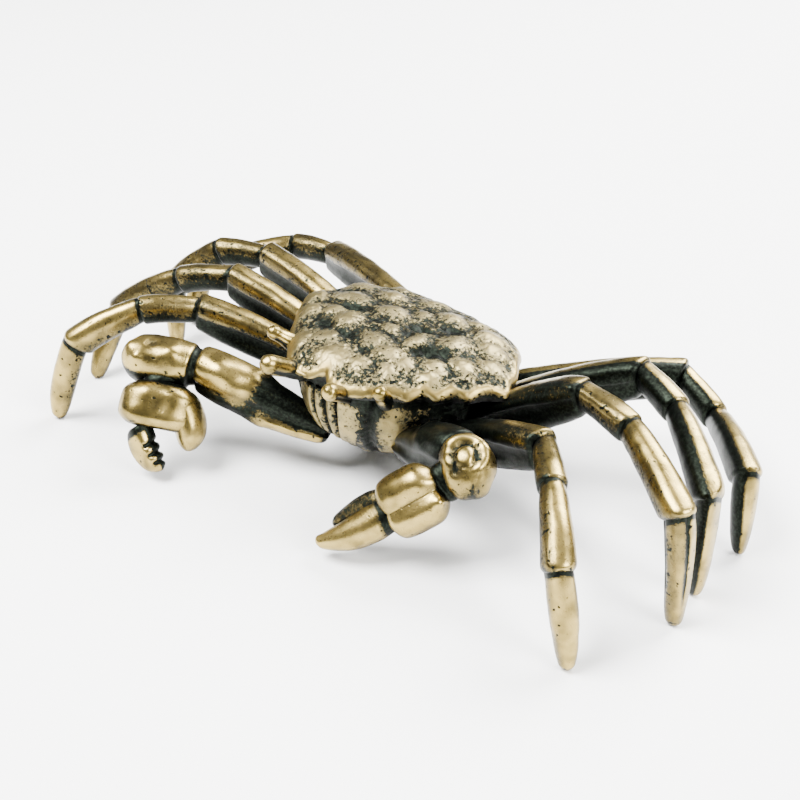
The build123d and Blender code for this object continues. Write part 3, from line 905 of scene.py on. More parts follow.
@dataclass
class Claw:
    """One claw: arm, wrist, palm with its fixed thumb, and finger."""

    side: Side
    # Places in shares of the half span
    joints: dict[str, Point]
    arm: LimbForm
    wrist: LimbForm
    palm: LimbForm
    thumb: LimbForm
    finger: LimbForm
    marks: tuple[Mark, ...] = ()
    # Horseshoe ridge on the wrist: share along, share across, radius
    horseshoe: tuple[float, ...] = ()
    ridge_height: float = 0.5
    ridge_width: float = 0.45
    groove_inset: float = 0.85
    groove_width: float = 0.32
    # Notches of the finger's edge, in shares along it, with their depth and width
    teeth: tuple[float, ...] = ()
    tooth_depth: float = 0.35
    tooth_width: float = 0.05
    # Dark band at the finger's hinge and dark neck at the wrist's root: share along, and its fade
    hinge_band: float = 0.08
    hinge_fade: float = 0.12
    wrist_root: float = 0.0
    root_fade: float = 0.07
    root_depth: float = 0.3
    # Patina that the arm, the wrist's belly and the thumb have besides
    arm_patina: float = 0.0
    wrist_patina: float = 0.0
    thumb_patina: float = 0.0
    # Height of the arm's crest, depth of its dark part, and how sharply the bright parts end
    crest_height: float = 0.12
    hollow_depth: float = 0.3
    arm_contrast: float = 3.4
    # How far the collar reaches into the palm, in millimetres
    collar_end: float = 0.6
    # Turn and rise, in degrees, of the way that the flat of the palm looks
    face_turn: float = 52.0
    face_rise: float = 31.0
    digit_bow: float = 0.1
    collar: LimbForm = tapered(4.4, 3.2, WRIST_SECTION, COLLAR_PROFILE, rows=30)

    def __post_init__(self) -> None:
        """Work out the joints in millimetres and the directions that the pieces share."""
        self.places = {name: np.array(shares) * HALF_SPAN for name, shares in self.joints.items()}
        self.face = heading(Side.LEFT, self.face_turn, self.face_rise)
        self.apart = unit(self.places["thumb_root"] - self.places["hinge"])
        self.elbow_cut = unit(self.ahead("root", "elbow") + self.ahead("elbow", "crown"))
        self.seed = 200 + 20 * self.side.value

    def ahead(self, first: str, last: str) -> Array:
        """Unit vector from one joint to another."""
        return unit(self.places[last] - self.places[first])

    def casting(self, piece: str) -> Casting:
        """Empty casting for a piece of this claw."""
        return Casting(f"{self.side.label}_claw_{piece}")

    def mark(self, piece: str, skin: Skin) -> None:
        """Press a piece's own bumps and dents into its skin.

        Args:
            piece: The piece's name.
            skin: Its surface.
        """
        for mark in self.marks:
            if mark.piece == piece:
                skin.bump(skin.spot(mark.along, mark.x, mark.above), mark.radius, mark.height, mark.patina)

    def digit(self, form: LimbForm, first: str, last: str, bow_way: Array, seed: int) -> Skin:
        """Surface of a digit that bows to one side: a straight one moved by a parabola along it.

        Args:
            form: Its shape.
            first: Joint at its root.
            last: Joint at its tip.
            bow_way: Unit vector that it bows along.
            seed: Picks its lumps.

        Returns:
            The surface.
        """
        first_place, last_place = self.places[first], self.places[last]
        reach = last_place - first_place
        skin = form.surface(first_place, last_place, np.cross(self.face, reach), tip=True, seed=seed)
        bow = self.digit_bow * np.linalg.norm(reach) * 4 * skin.along * (1 - skin.along)
        skin.grid = skin.grid + bow_way * bow[..., None]
        return skin

    def build(self, brass: bpy.types.Material) -> None:
        """Build the claw's four castings from the body outwards."""
        for build_piece in (self.build_arm, self.build_wrist, self.build_palm, self.build_finger):
            build_piece(brass)

    def build_arm(self, brass: bpy.types.Material) -> None:
        """Build the arm, rubbed bright on its outer back and its inner belly and dark between them.

        The brightness is the product of the shares along and up, so it falls to nought along a
        saddle; a crest runs where it is little and the dark part lies lower.

        Args:
            brass: Finish of the casting.
        """
        level_axis = np.cross(UP, self.ahead("root", "elbow"))
        root, elbow = self.places["root"], self.places["elbow"]
        arm = self.arm.surface(root, elbow, level_axis, None, self.elbow_cut, seed=self.seed)
        ragged = 0.3 * rough_noise(arm.grid, 2.2, 91)
        bright = (2 * arm.along - 0.95) * (arm.y + 0.1) * self.arm_contrast + ragged
        dark = ramp(bright, 0.45, -0.65)
        arm.move(self.crest_height * bell(bright, 0.35, 0.35) - self.hollow_depth * dark)
        arm.patina += dark + self.arm_patina
        self.mark("arm", arm)
        self.casting("arm").add(arm.grid, arm.patina).finish(brass)

    def build_wrist(self, brass: bpy.types.Material) -> None:
        """Build the wrist with its dark root, and the collar under it that carries the palm.

        Args:
            brass: Finish of the casting.
        """
        elbow, crown, seat = self.places["elbow"], self.places["crown"], self.places["seat"]
        level_axis = np.cross(UP, self.ahead("elbow", "crown"))
        wrist = self.wrist.surface(elbow, crown, level_axis, self.elbow_cut, tip=True, seed=self.seed + 2)
        wrist.patina += self.wrist_patina * ramp(wrist.y, 0.05, -0.35)
        if self.horseshoe:
            self.press_horseshoe(wrist)
        root = ramp(wrist.along, self.wrist_root, self.wrist_root - self.root_fade)
        wrist.move(-self.root_depth * root)
        wrist.patina += root
        self.mark("wrist", wrist)
        palm_ahead = self.ahead("seat", "knuckle")
        end, level_axis = seat + palm_ahead * self.collar_end, np.cross(self.face, palm_ahead)
        collar = self.collar.surface((elbow + crown) / 2, end, level_axis, seed=self.seed)
        casting = self.casting("wrist").add(wrist.grid, wrist.patina)
        casting.add(collar.grid, collar.patina + 1.0).finish(brass)

    def press_horseshoe(self, wrist: Skin) -> None:
        """Raise a horseshoe ridge on the wrist, open below, with a dark groove inside it.

        Ridge and groove are bells over the distance from a centre, warped by lattice noise.

        Args:
            wrist: Surface of the wrist.
        """
        along, x, radius = self.horseshoe
        centre = wrist.spot(along, x)
        spots = wrist.grid + 0.35 * rough_noise(wrist.grid, 1.6, 93)[..., None]
        above = smooth(1.1 * (spots[..., 2] - centre[2]) / radius + 0.75)
        distance = np.linalg.norm(spots - centre, axis=-1)
        groove = bell(distance, radius - self.groove_inset, self.groove_width)
        wrist.move(above * self.ridge_height * (bell(distance, radius, self.ridge_width) - groove))
        wrist.patina += 0.8 * groove * above

    def build_palm(self, brass: bpy.types.Material) -> None:
        """Build the palm and its fixed thumb.

        Args:
            brass: Finish of the casting.
        """
        level_axis = np.cross(self.face, self.ahead("seat", "knuckle"))
        palm = self.palm.surface(self.places["seat"], self.places["knuckle"], level_axis, seed=self.seed + 3)
        self.mark("palm", palm)
        thumb = self.digit(self.thumb, "thumb_root", "thumb_tip", self.apart, self.seed + 4)
        thumb.patina += self.thumb_patina
        self.casting("palm").add(palm.grid, palm.patina).add(thumb.grid, thumb.patina).finish(brass)

    def build_finger(self, brass: bpy.types.Material) -> None:
        """Build the finger, dark at its hinge and notched along the edge that faces the thumb.

        Args:
            brass: Finish of the casting.
        """
        finger = self.digit(self.finger, "hinge", "tip", -self.apart, self.seed + 5)
        finger.patina += 0.9 * ramp(finger.along, self.hinge_band, self.hinge_band - self.hinge_fade)
        inward = finger.x * np.sign(np.cross(self.face, self.ahead("hinge", "tip")) @ self.apart)
        for tooth in self.teeth:
            notch = bell(finger.along, tooth, self.tooth_width) * ramp(inward, -0.15, 0.35)
            finger.move(-self.tooth_depth * notch)
            finger.patina += 1.1 * notch
        if self.teeth:
            finger.patina += 0.9 * ramp(inward, 0.45, 0.75)
        self.casting("finger").add(finger.grid, finger.patina).finish(brass)


# Profiles of the claws' pieces: share along, share of the width, share of the height
ARM_PROFILE = (
    (-0.3, 0.4, 0.4), (-0.1, 0.56, 0.5), (0.05, 0.7, 0.66), (0.3, 0.9, 0.86), (0.65, 1.02, 1.02),
    (0.88, 1.0, 0.98), (1.0, 0.9, 0.88),
)
WRIST_PROFILE = ((0, 0.8, 0.84), (0.25, 0.96, 0.98), (0.6, 1.0, 1.0), (1.0, 0.92, 0.9))
PALM_PROFILE = ((0, 0.72, 0.74), (0.2, 0.94, 0.94), (0.55, 1.02, 1.02), (0.85, 0.98, 0.96), (1.0, 0.9, 0.86))
DIGIT_PROFILE = (
    (-0.2, 0.92, 0.94), (0.15, 1.0, 1.0), (0.45, 0.98, 0.94), (0.75, 0.74, 0.72), (1.0, 0.45, 0.45)
)
CONE_PROFILE = ((-0.2, 1.2, 1.1), (0.1, 1.3, 1.15), (0.4, 1.12, 1.02), (0.75, 0.72, 0.72), (1.0, 0.4, 0.42))
BLADE_PROFILE = ((-0.2, 0.9, 0.9), (0.08, 1.2, 1.0), (0.45, 1.25, 1.0), (0.75, 1.0, 0.84), (1.0, 0.5, 0.5))
THUMB_PROFILE = ((-0.6, 0.9, 0.9), (-0.2, 1.1, 1.0), (0.2, 1.02, 0.98), (0.6, 0.95, 0.95), (1.0, 0.72, 0.72))

CLAWS = (
    Claw(
        Side.LEFT,
        {
            "root": (0.17, -0.144, 0.17),
            "elbow": (0.4, -0.206, 0.255),
            "crown": (0.502, -0.305, 0.27),
            "seat": (0.415, -0.302, 0.23),
            "knuckle": (0.305, -0.377, 0.138),
            "hinge": (0.298, -0.384, 0.128),
            "tip": (0.16, -0.487, 0.045),
            "thumb_root": (0.305, -0.354, 0.168),
            "thumb_tip": (0.172, -0.434, 0.075),
        },
        arm=tapered(4.4, 5.6, ARM_SECTION, ARM_PROFILE, start=-0.1, first_fillet=1.0),
        wrist=tapered(5.4, 5.7, WRIST_SECTION, WRIST_PROFILE, lump=0.16),
        palm=tapered(6.4, 4.6, LOBED_PALM_SECTION, PALM_PROFILE, first_fillet=1.9, last_fillet=0.8),
        thumb=tapered(2.4, 2.7, DIGIT_SECTION, DIGIT_PROFILE, start=-0.16),
        finger=tapered(2.9, 3.1, DIGIT_SECTION, CONE_PROFILE, start=-0.16),
        marks=(
            Mark("wrist", 0.3, -0.6, True, 0.9, 0.3),
            Mark("wrist", 0.86, -0.9, True, 0.6, -0.3, 0.5),
            Mark("wrist", 0.85, -0.6, False, 1.1, 0.35),
            Mark("wrist", 0.8, 0.6, False, 0.9, 0.3),
            Mark("wrist", 0.75, -0.7, False, 0.5, -0.2, 0.5),
            Mark("palm", 0.12, 0.55, True, 0.6, 0.5, 0.2),
            Mark("palm", 0.02, 0.3, True, 0.5, -0.2, 0.7),
        ),
        horseshoe=(0.76, -0.25, 2.3),
        arm_patina=1.0,
        thumb_patina=0.45,
    ),
    Claw(
        Side.RIGHT,
        {
            "root": (-0.09, -0.189, 0.14),
            "elbow": (-0.425, -0.299, 0.255),
            "crown": (-0.6, -0.409, 0.28),
            "seat": (-0.465, -0.386, 0.235),
            "knuckle": (-0.44, -0.458, 0.13),
            "hinge": (-0.468, -0.491, 0.122),
            "tip": (-0.39, -0.494, 0.033),
            "thumb_root": (-0.41, -0.379, 0.18),
            "thumb_tip": (-0.355, -0.414, 0.068),
        },
        arm=tapered(4.6, 5.9, ARM_SECTION, ARM_PROFILE, start=-0.1, first_fillet=1.0, last_fillet=0.8),
        wrist=tapered(5.4, 5.6, WRIST_SECTION, WRIST_PROFILE, lump=0.14),
        palm=tapered(8.4, 5.0, PALM_SECTION, PALM_PROFILE, first_fillet=1.6, last_fillet=1.3),
        thumb=tapered(3.6, 4.6, DIGIT_SECTION, THUMB_PROFILE, start=-0.45),
        finger=tapered(2.8, 3.0, DIGIT_SECTION, BLADE_PROFILE, start=-0.16),
        marks=(
            Mark("wrist", 0.88, 0.35, True, 0.9, 0.4),
            Mark("wrist", 0.74, 0.85, True, 0.7, 0.4),
            Mark("wrist", 0.6, 0.2, True, 0.7, -0.25, 0.4),
            Mark("wrist", 0.35, 0.6, True, 1.0, 0.3),
            Mark("arm", 0.8, 0.8, True, 1.2, 0.3, -0.2),
            Mark("palm", 0.45, 0.1, True, 1.5, -0.3, 0.15),
            Mark("palm", 0.75, -0.6, True, 1.4, 0.25),
        ),
        teeth=(0.34, 0.58, 0.8),
        wrist_patina=1.0,
        wrist_root=0.1,
    ),
)


@dataclass
class Carapace:
    """The shell: a toothed margin round a bossed, pitted dome."""

    half_width: float = 15.4
    half_length: float = 11.6
    rise: float = 2.7
    lip: float = 0.4
    edge_radius: float = 0.45
    per_span: int = 12
    rows: int = 150
    # Outlines and dome in shares of the half width and half length: to the left, ahead
    margin: Table = (
        (0, 0.93), (0.07, 0.98), (0.16, 1.0), (0.26, 0.98), (0.33, 0.93), (0.4, 0.84), (0.49, 0.71),
        (0.57, 0.64), (0.62, 0.51), (0.7, 0.46), (0.755, 0.32), (0.84, 0.25), (0.885, 0.09),
        (0.98, -0.06), (0.925, -0.19), (0.89, -0.33), (0.8, -0.5), (0.7, -0.7), (0.56, -0.86),
        (0.34, -0.95), (0, -0.98),
    )
    right_margin: Table = (
        (0, 0.93), (0.08, 1.0), (0.16, 1.03), (0.25, 1.02), (0.35, 0.95), (0.43, 0.86), (0.5, 0.77),
        (0.57, 0.7), (0.62, 0.6), (0.68, 0.53), (0.74, 0.41), (0.82, 0.28), (0.88, 0.13),
        (0.98, -0.08), (0.95, -0.2), (0.91, -0.33), (0.82, -0.5), (0.71, -0.7), (0.57, -0.86),
        (0.34, -0.95), (0, -0.98),
    )
    dome: Table = (
        (0, 1.0), (0.3, 0.98), (0.58, 0.65), (0.88, 0.25), (1.01, -0.03), (0.96, -0.3), (0.86, -0.58),
        (0.62, -0.84), (0.38, -0.95), (0, -0.98),
    )
    crown: Table = ((0, 0), (0.1, 0.42), (0.28, 0.74), (0.5, 0.92), (0.75, 1.0), (1.0, 1.0))
    # Bosses, and last the hollows between them: to the left, ahead, radius across, radius ahead, height
    bosses: Table = (
        (-4.6, 3.1, 1.8, 1.7, 0.6), (-3.5, 7.4, 1.9, 1.4, 0.4), (-0.5, 8.9, 2.4, 1.7, 0.4),
        (1.0, 4.5, 1.8, 1.6, 0.5), (3.8, 5.4, 2.0, 1.6, 0.5), (-2.4, -1.5, 2.3, 1.5, 0.6),
        (-8.5, -1.5, 2.6, 1.6, 0.5), (4.2, 1.6, 1.3, 2.2, 0.6), (6.9, -1.5, 1.9, 2.3, 0.55),
        (7.8, -6.4, 2.0, 1.6, 0.45), (9.8, -4.3, 1.8, 1.5, 0.4), (2.7, -5.8, 1.8, 1.5, 0.45),
        (4.9, -7.9, 1.4, 1.2, 0.35), (6.0, 5.3, 1.3, 1.1, 0.3), (8.2, 3.4, 1.4, 1.2, 0.3),
        (10.3, 0.9, 1.7, 1.3, 0.35), (11.9, -1.7, 1.6, 1.3, 0.3), (-10.2, 3.0, 1.5, 1.4, 0.4),
        (-7.4, 2.2, 1.3, 1.2, 0.4), (-6.2, 8.6, 1.9, 1.8, 0.3), (0.4, 1.6, 1.2, 1.0, 0.35),
        (0.3, -3.9, 1.2, 1.0, 0.3), (-5.6, -5.2, 2.0, 1.5, 0.5), (-1.4, -8.0, 1.9, 1.3, 0.4),
        (-10.8, -5.4, 1.9, 1.5, 0.4), (-7.0, -8.3, 1.5, 1.2, 0.3), (-12.6, 0.2, 1.5, 1.3, 0.3),
        (5.4, 7.2, 1.2, 1.0, 0.3), (2.6, 8.6, 1.4, 1.1, 0.35), (9.2, 4.9, 1.1, 0.9, 0.25),
        (-5.9, 5.0, 1.3, 0.9, -0.35), (-2.2, 5.6, 1.3, 0.8, -0.35), (-6.8, 0.8, 1.2, 0.8, -0.3),
        (5.2, 2.9, 0.8, 0.7, -0.5), (6.2, 1.7, 0.9, 0.7, -0.6), (7.4, 0.8, 0.8, 0.7, -0.5),
        (-6.4, 0.4, 1.1, 0.8, -0.3), (2.2, -1.0, 1.3, 0.9, -0.35), (4.6, -3.4, 1.2, 0.8, -0.3),
    )
    # Power of the sine that spaces the rings; below one, they crowd less towards the rim
    crowding: float = 0.9
    # Distance over which the bosses fade towards the margin, and the extra rubbing just inside it
    fade_reach: float = 1.2
    rub_reach: float = 1.3
    edge_rub: float = 0.35
    # Bright rim: its place inside the margin, its width, and the patina it loses
    rim_place: float = 0.25
    rim_width: float = 0.4
    rim_rub: float = 0.8
    ground_patina: float = 0.56
    rubbed_off: float = 0.42
    shell_tint: float = 0.7
    # Shares of a boss's radius at which it has fallen to the ground and at which its top is flat
    boss_foot: float = 1.45
    boss_top: float = 0.15
    warp: float = 0.45
    warp_size: float = 2.6
    pit_depth: float = 0.16
    pit_size: float = 0.9
    pit_width: float = 0.3
    grit_size: float = 0.5
    swell_height: float = 0.14
    swell_size: float = 2.4
    # Share of the pits that the polish takes off a boss
    boss_cover: float = 0.85
    under_shares: tuple[float, ...] = (0.985, 0.96, 0.9, 0.8, 0.68, 0.5)
    under_gap: float = 0.12
    under_arch: float = 0.25

    def outlines(self) -> tuple[Array, Array]:
        """Draw the shell's two closed curves.

        Returns:
            Points of the margin and of the dome's foot, in millimetres.
        """
        size = (self.half_width, self.half_length)
        halves = (mirrored(self.margin, self.right_margin), mirrored(self.dome))
        return tuple(ring_through(half * size, self.per_span) for half in halves)

    def build(self, brass: bpy.types.Material) -> None:
        """Build the shell from its crown out to the margin, round the lip and back in underneath.

        Rings are the margin's outline at shares that crowd towards the rim. The height over a place
        is the dome's profile at its share of the way in from the dome's foot, plus the relief; at
        the margin it falls off on a quarter circle.

        Args:
            brass: Finish of the casting.
        """
        outline, foot = self.outlines()
        share = np.sin(0.5 * np.pi * np.arange(1, self.rows + 1) / self.rows) ** self.crowding
        flat = outline[None] * share[:, None, None]
        angle, foot_angle = (np.arctan2(part[..., 0], part[..., 1]) for part in (flat, foot))
        foot_radius = np.interp(angle, foot_angle, np.linalg.norm(foot, axis=-1), period=2 * np.pi)
        inset = np.clip(1 - np.linalg.norm(flat, axis=-1) / foot_radius, 0, 1)
        dome = self.rise * curve_through(self.crown, inset.ravel())[:, 0].reshape(inset.shape)
        relief, rubbed = self.relief(np.concatenate([flat, np.zeros_like(flat[..., :1])], axis=-1))
        from_edge = (1 - share)[:, None] * np.linalg.norm(outline, axis=-1)[None]
        rubbed = rubbed + self.edge_rub * bell(from_edge, self.rub_reach, self.rub_reach)
        edge = np.clip(from_edge / self.edge_radius, 0, 1)
        drop = self.lip * (1 - np.sqrt(1 - (1 - edge) ** 2))
        fade = ramp(from_edge, 0.0, self.fade_reach)
        rim = bell(from_edge, self.rim_place, self.rim_width)
        top = CARAPACE_FLOOR + self.lip + dome + relief * fade - drop
        patina = self.ground_patina - self.rubbed_off * rubbed + 0.2 * (1 - fade) - self.rim_rub * rim
        under_share = np.array(self.under_shares)[:, None]
        under = outline[None] * under_share[..., None]
        arch = self.under_arch * np.sin(np.pi * under_share) - self.under_gap
        under_height = CARAPACE_FLOOR + arch + 0 * under[..., 0]
        flat = np.concatenate([flat, under])
        grid = body_place(flat[..., 0], flat[..., 1], np.concatenate([top, under_height]))
        patina = np.concatenate([patina, np.ones_like(under_height)])
        tint = np.concatenate([self.shell_tint * (1 - rim), np.zeros_like(under_height)])
        Casting("carapace").add(grid, patina, tint).finish(brass)

    def relief(self, spots: Array) -> tuple[Array, Array]:
        """Work out the bosses, hollows and pits of the dome.

        Each boss is a flat-topped smoothstep over its own ellipse, warped by lattice noise, and the
        highest of them counts. Pits lie where ridged noise is near nought, on the open ground only.

        Args:
            spots: Places over the shell in millimetres, last axis left, ahead, nought.

        Returns:
            The height that is added, and how much each place is rubbed bright.
        """
        relief, rubbed = np.zeros(spots.shape[:-1]), np.zeros(spots.shape[:-1])
        warp = np.stack([rough_noise(spots, self.warp_size, seed) for seed in (3, 11)], axis=-1)
        flat = spots[..., :2] + self.warp * warp
        for left, ahead, across_radius, ahead_radius, height in self.bosses:
            distance = np.hypot((flat[..., 0] - left) / across_radius, (flat[..., 1] - ahead) / ahead_radius)
            boss = ramp(distance, self.boss_foot, self.boss_top)
            relief = np.maximum(relief, height * boss) if height > 0 else relief + height * boss
            rubbed = np.maximum(rubbed, boss) if height > 0 else rubbed - boss
        pitted = ramp(np.abs(rough_noise(spots, self.pit_size, 21)), self.pit_width, 0.0)
        open_ground = 1 - self.boss_cover * np.clip(rubbed, 0, 1)
        pits = pitted + np.clip(lattice_noise(spots, self.grit_size, 41), 0, 1)
        swells = self.swell_height * rough_noise(spots, self.swell_size, 31)
        relief = relief - self.pit_depth * pits * open_ground + swells
        rubbed = rubbed + 0.35 * (rough_noise(spots, 2.2, 33) - pitted * open_ground)
        return relief, rubbed


@dataclass
class Body:
    """The body under the shell: a bowl with a pleated face ahead."""

    half_width: float = 10.6
    half_length: float = 10.2
    ahead: float = 0.4
    rim: Table = (
        (0, 1), (0.4, 0.98), (0.72, 0.72), (0.93, 0.36), (1, -0.05), (0.94, -0.5), (0.68, -0.86),
        (0.3, -1), (0, -1),
    )
    bowl: Table = ((0, 1.0), (0.2, 0.99), (0.38, 0.97), (0.6, 0.9), (0.78, 0.8), (0.9, 0.68), (1.0, 0.5))
    # Pleats: place across at the rim and at the belly, width, depth, patina
    pleats: Table = (
        (6.3, 4.1, 0.4, 0.6, 0.9), (-4.4, -0.9, 0.28, 0.3, 0.9), (-5.4, -2.0, 0.24, 0.25, 0.8),
        (-6.6, -3.2, 0.3, 0.3, 0.8), (-8.0, -4.6, 0.35, 0.35, 0.9),
    )
    rows: int = 110
    per_span: int = 18
    # Where the face starts and is full, ahead of the middle, and the bulge beside it: place, lean, width
    face_from: float = 2.5
    face_full: float = 5.0
    bulge: Point = (8.0, 2.2, 1.1)
    # Roughness: height and size of the ridges on the flanks and of the lumps all over
    ridge_height: float = 0.4
    ridge_size: float = 1.0
    lump_height: float = 0.25
    lump_size: float = 2.0
    tint: float = 0.5

    def build(self, brass: bpy.types.Material) -> None:
        """Build the bowl from the belly up to the rim.

        The outline shrinks with depth by the bowl's profile. Pleats are grooves whose place across
        the face shifts evenly from rim to belly, and the flanks are rough with lattice noise.

        Args:
            brass: Finish of the casting.
        """
        outline = ring_through(mirrored(self.rim) * (self.half_width, self.half_length), self.per_span)
        depth = np.linspace(1, 0, self.rows)[:, None]
        share = curve_through(self.bowl, depth[:, 0])
        flat = (outline[None] * share[..., None])[:, ::-1]
        across, ahead = flat[..., 0], flat[..., 1]
        height = CARAPACE_FLOOR - depth * (CARAPACE_FLOOR - BELLY_HEIGHT)
        grid = body_place(across, ahead + self.ahead, height)
        front = ramp(ahead, self.face_from, self.face_full)
        ridges = self.ridge_height * np.abs(rough_noise(grid, self.ridge_size, 55)) * (1 - 0.7 * front)
        rough = self.lump_height * rough_noise(grid, self.lump_size, 51) + ridges - self.ridge_height / 2
        patina = 1.0 - 0.4 * front + 0.4 * rough_noise(grid, 0.9, 53)
        for rim_place, belly_place, width, deep, dark in self.pleats:
            pleat = front * bell(across, rim_place + (belly_place - rim_place) * depth, width)
            rough = rough - deep * pleat
            patina = patina + dark * pleat
        place, lean, width = self.bulge
        patina -= 0.5 * bell(across, place - lean * depth, width) * ramp(ahead, 1.5, 3.5)
        patina += 0.5 * ramp(depth, 0.18, 0.08)
        grid = swell(grid, rough * ramp(np.minimum(depth, 1.04 - depth), 0.0, 0.06))
        Casting("body").add(grid, patina, self.tint).finish(brass)


@dataclass
class Peg:
    """An eye stalk or brow spine."""

    node: str
    # Knob's top and hidden foot in the body's own directions: to the left, ahead, height
    tip: Point
    base: Point
    profile: Table
    width: float = 1.7
    rows: int = 60
    columns: int = 40
    # Slot down its flank: turn about the axis in radians, width in the same, depth
    slot_turn: float = 2.1
    slot_width: float = 0.35
    slot_depth: float = 0.15
    lump: float = 0.05
    # Shares along between which its patina is rubbed off towards the knob
    rubbed: tuple[float, float] = (0.35, 0.65)

    def build(self, brass: bpy.types.Material) -> None:
        """Build the peg: circles about its axis whose radius follows the profile, with one dark slot.

        Args:
            brass: Finish of the casting.
        """
        base, tip = (body_place(*np.array(place, float)) for place in (self.base, self.tip))
        reach = tip - base
        across = unit(np.cross(UP, reach))
        upward = np.cross(unit(reach), across)
        along = np.linspace(0, 1, self.rows)[:, None] ** 0.6
        radius = curve_through(self.profile, along[:, 0]) * self.width / 2
        turn = np.linspace(0, 2 * np.pi, self.columns, endpoint=False)
        circle = across * np.sin(turn)[:, None] + upward * np.cos(turn)[:, None]
        grid = base + reach * along[..., None] + circle[None] * radius[..., None]
        slot = bell(turn[None], self.slot_turn, self.slot_width) * ramp(along, 0.85, 0.75)
        grid = swell(grid, self.lump * rough_noise(grid, 0.9, 61) - self.slot_depth * slot)
        patina = 0.6 - 0.7 * ramp(along, *self.rubbed) + 0.9 * slot + 0.15 * rough_noise(grid, 0.8, 63)
        Casting(self.node).add(grid, patina).finish(brass)


# Profiles of the pegs: share along, share of the width
EYE_PROFILE = ((0, 1.0), (0.5, 1.0), (0.75, 1.06), (0.88, 1.0), (0.95, 0.76), (1.0, 0.25))
SPINE_PROFILE = ((0, 1.35), (0.4, 1.15), (0.7, 0.86), (0.88, 0.86), (0.95, 0.68), (1.0, 0.25))

PEGS = (
    Peg("left_eye", (3.8, 14.2, 14.3), (2.9, 9.4, 11.5), EYE_PROFILE),
    Peg("right_eye", (-4.7, 15.2, 14.3), (-3.6, 9.4, 11.5), EYE_PROFILE, width=2.0),
    Peg("left_brow_spine", (7.3, 10.3, 14.3), (6.0, 7.4, 11.5), SPINE_PROFILE),
    Peg("right_brow_spine", (-10.0, 9.7, 14.3), (-7.4, 6.1, 11.5), SPINE_PROFILE, width=1.8),
)


@dataclass
class MouthPlate:
    """One of the two plates on the face: a flat panel outside a narrow pleat."""

    side: Side
    top: float = 11.4
    bottom: float = 5.2
    width: float = 4.6
    foot_width: float = 2.8
    proud: float = 0.5
    seam: float = 0.3
    # How fast the face falls back to both sides, per millimetre, and how square the plate's ends are
    fall: float = 0.05
    squareness: int = 8
    tint: float = 0.5
    rows: int = 60
    per_span: int = 6
    # Section from the middle outwards: share of the width, height over the face as a share of proud
    section: Table = (
        (0, -1.5), (0.02, 0.2), (0.08, 0.8), (0.2, 1.1), (0.29, 0.5), (0.33, -0.1), (0.38, 0.6),
        (0.46, 1.2), (0.7, 1.1), (0.92, 0.9), (0.99, 0.2), (1.0, -1.5),
    )

    def build(self, brass: bpy.types.Material) -> None:
        """Build the plate: its ridged section carried down the face, narrowing towards the foot.

        The face it lies on is the body's bowl, curved back to both sides on a parabola.

        Args:
            brass: Finish of the casting.
        """
        ring = ring_through(np.array(self.section, float), self.per_span)[None]
        share = np.linspace(0, 1, self.rows)[:, None]
        height = self.bottom + (self.top - self.bottom) * share
        widening = np.sin(0.5 * np.pi * np.minimum(share * 1.4, 1))
        width = self.foot_width + (self.width - self.foot_width) * widening
        depth = (CARAPACE_FLOOR - height) / (CARAPACE_FLOOR - BELLY_HEIGHT)
        body = Body()
        face = body.half_length * curve_through(body.bowl, depth[:, 0]) + body.ahead
        end = np.sqrt(np.clip(1 - np.abs(2 * share - 1) ** self.squareness, 0, 1))
        across = self.side.value * (self.seam / 2 + ring[..., 0] * width)
        ahead = face - self.fall * across**2 + self.proud * ring[..., 1] * end
        grid = body_place(across, ahead, height)
        patina = 0.75 - 0.5 * np.clip(ring[..., 1], -1, 1.2) + 0.7 * (1 - end)
        patina = patina + 0.15 * rough_noise(grid, 0.9, 71)
        if self.side is Side.LEFT:
            grid, patina = grid[:, ::-1], patina[:, ::-1]
        Casting(f"{self.side.label}_mouth_plate").add(grid, patina, self.tint).finish(brass)


@dataclass
class TailFlap:
    """The tail folded flat under the belly, in steps that narrow ahead."""

    length: float = 8.6
    width: float = 5.6
    thickness: float = 0.7
    tip_share: float = 0.35
    segments: int = 6
    # Depth of the grooves between segments as a share of the thickness, powers for ovals and ends
    groove: float = 0.28
    roundness: float = 0.6
    squareness: int = 10
    rows: int = 90
    columns: int = 48

    def squared(self, wave: Array) -> Array:
        """A sine or cosine drawn out towards a square, so that the flap's section is a flat oval."""
        return np.sign(wave) * np.abs(wave) ** self.roundness

    def build(self, brass: bpy.types.Material) -> None:
        """Build the flap: flat rings whose width falls along it and whose depth ripples by segment.

        Args:
            brass: Finish of the casting.
        """
        along = np.linspace(0, 1, self.rows)[:, None]
        turn = np.linspace(0, 2 * np.pi, self.columns, endpoint=False)
        half = self.width / 2 * (1 - (1 - self.tip_share) * along)
        ends = np.sqrt(np.clip(1 - np.abs(2 * along - 1) ** self.squareness, 0, 1))
        segment = np.abs(np.sin(np.pi * self.segments * along)) ** self.roundness
        step = 1 - self.groove + self.groove * segment
        across = self.squared(np.sin(turn)) * half * (0.9 + 0.1 * step) * ends
        deep = self.squared(np.cos(turn)) * self.thickness * step * ends
        grid = body_place(across, self.length * (along - 0.5), BELLY_HEIGHT + deep)
        patina = 0.85 - 0.3 * step + 0.2 * rough_noise(grid, 1.0, 81)
        Casting("tail_flap").add(grid, patina).finish(brass)


def looking(place: Array, away: Array) -> Matrix:
    """Matrix of a light or camera that looks level-headed along the opposite of a direction.

    Args:
        place: Its place in metres.
        away: Unit vector from what it looks at towards it.

    Returns:
        The matrix, whose columns are sideways, upwards and away.
    """
    side = unit(np.cross(UP, away))
    turned = Matrix(np.column_stack([side, np.cross(away, side), away]).tolist())
    return Matrix.Translation(place.tolist()) @ turned.to_4x4()


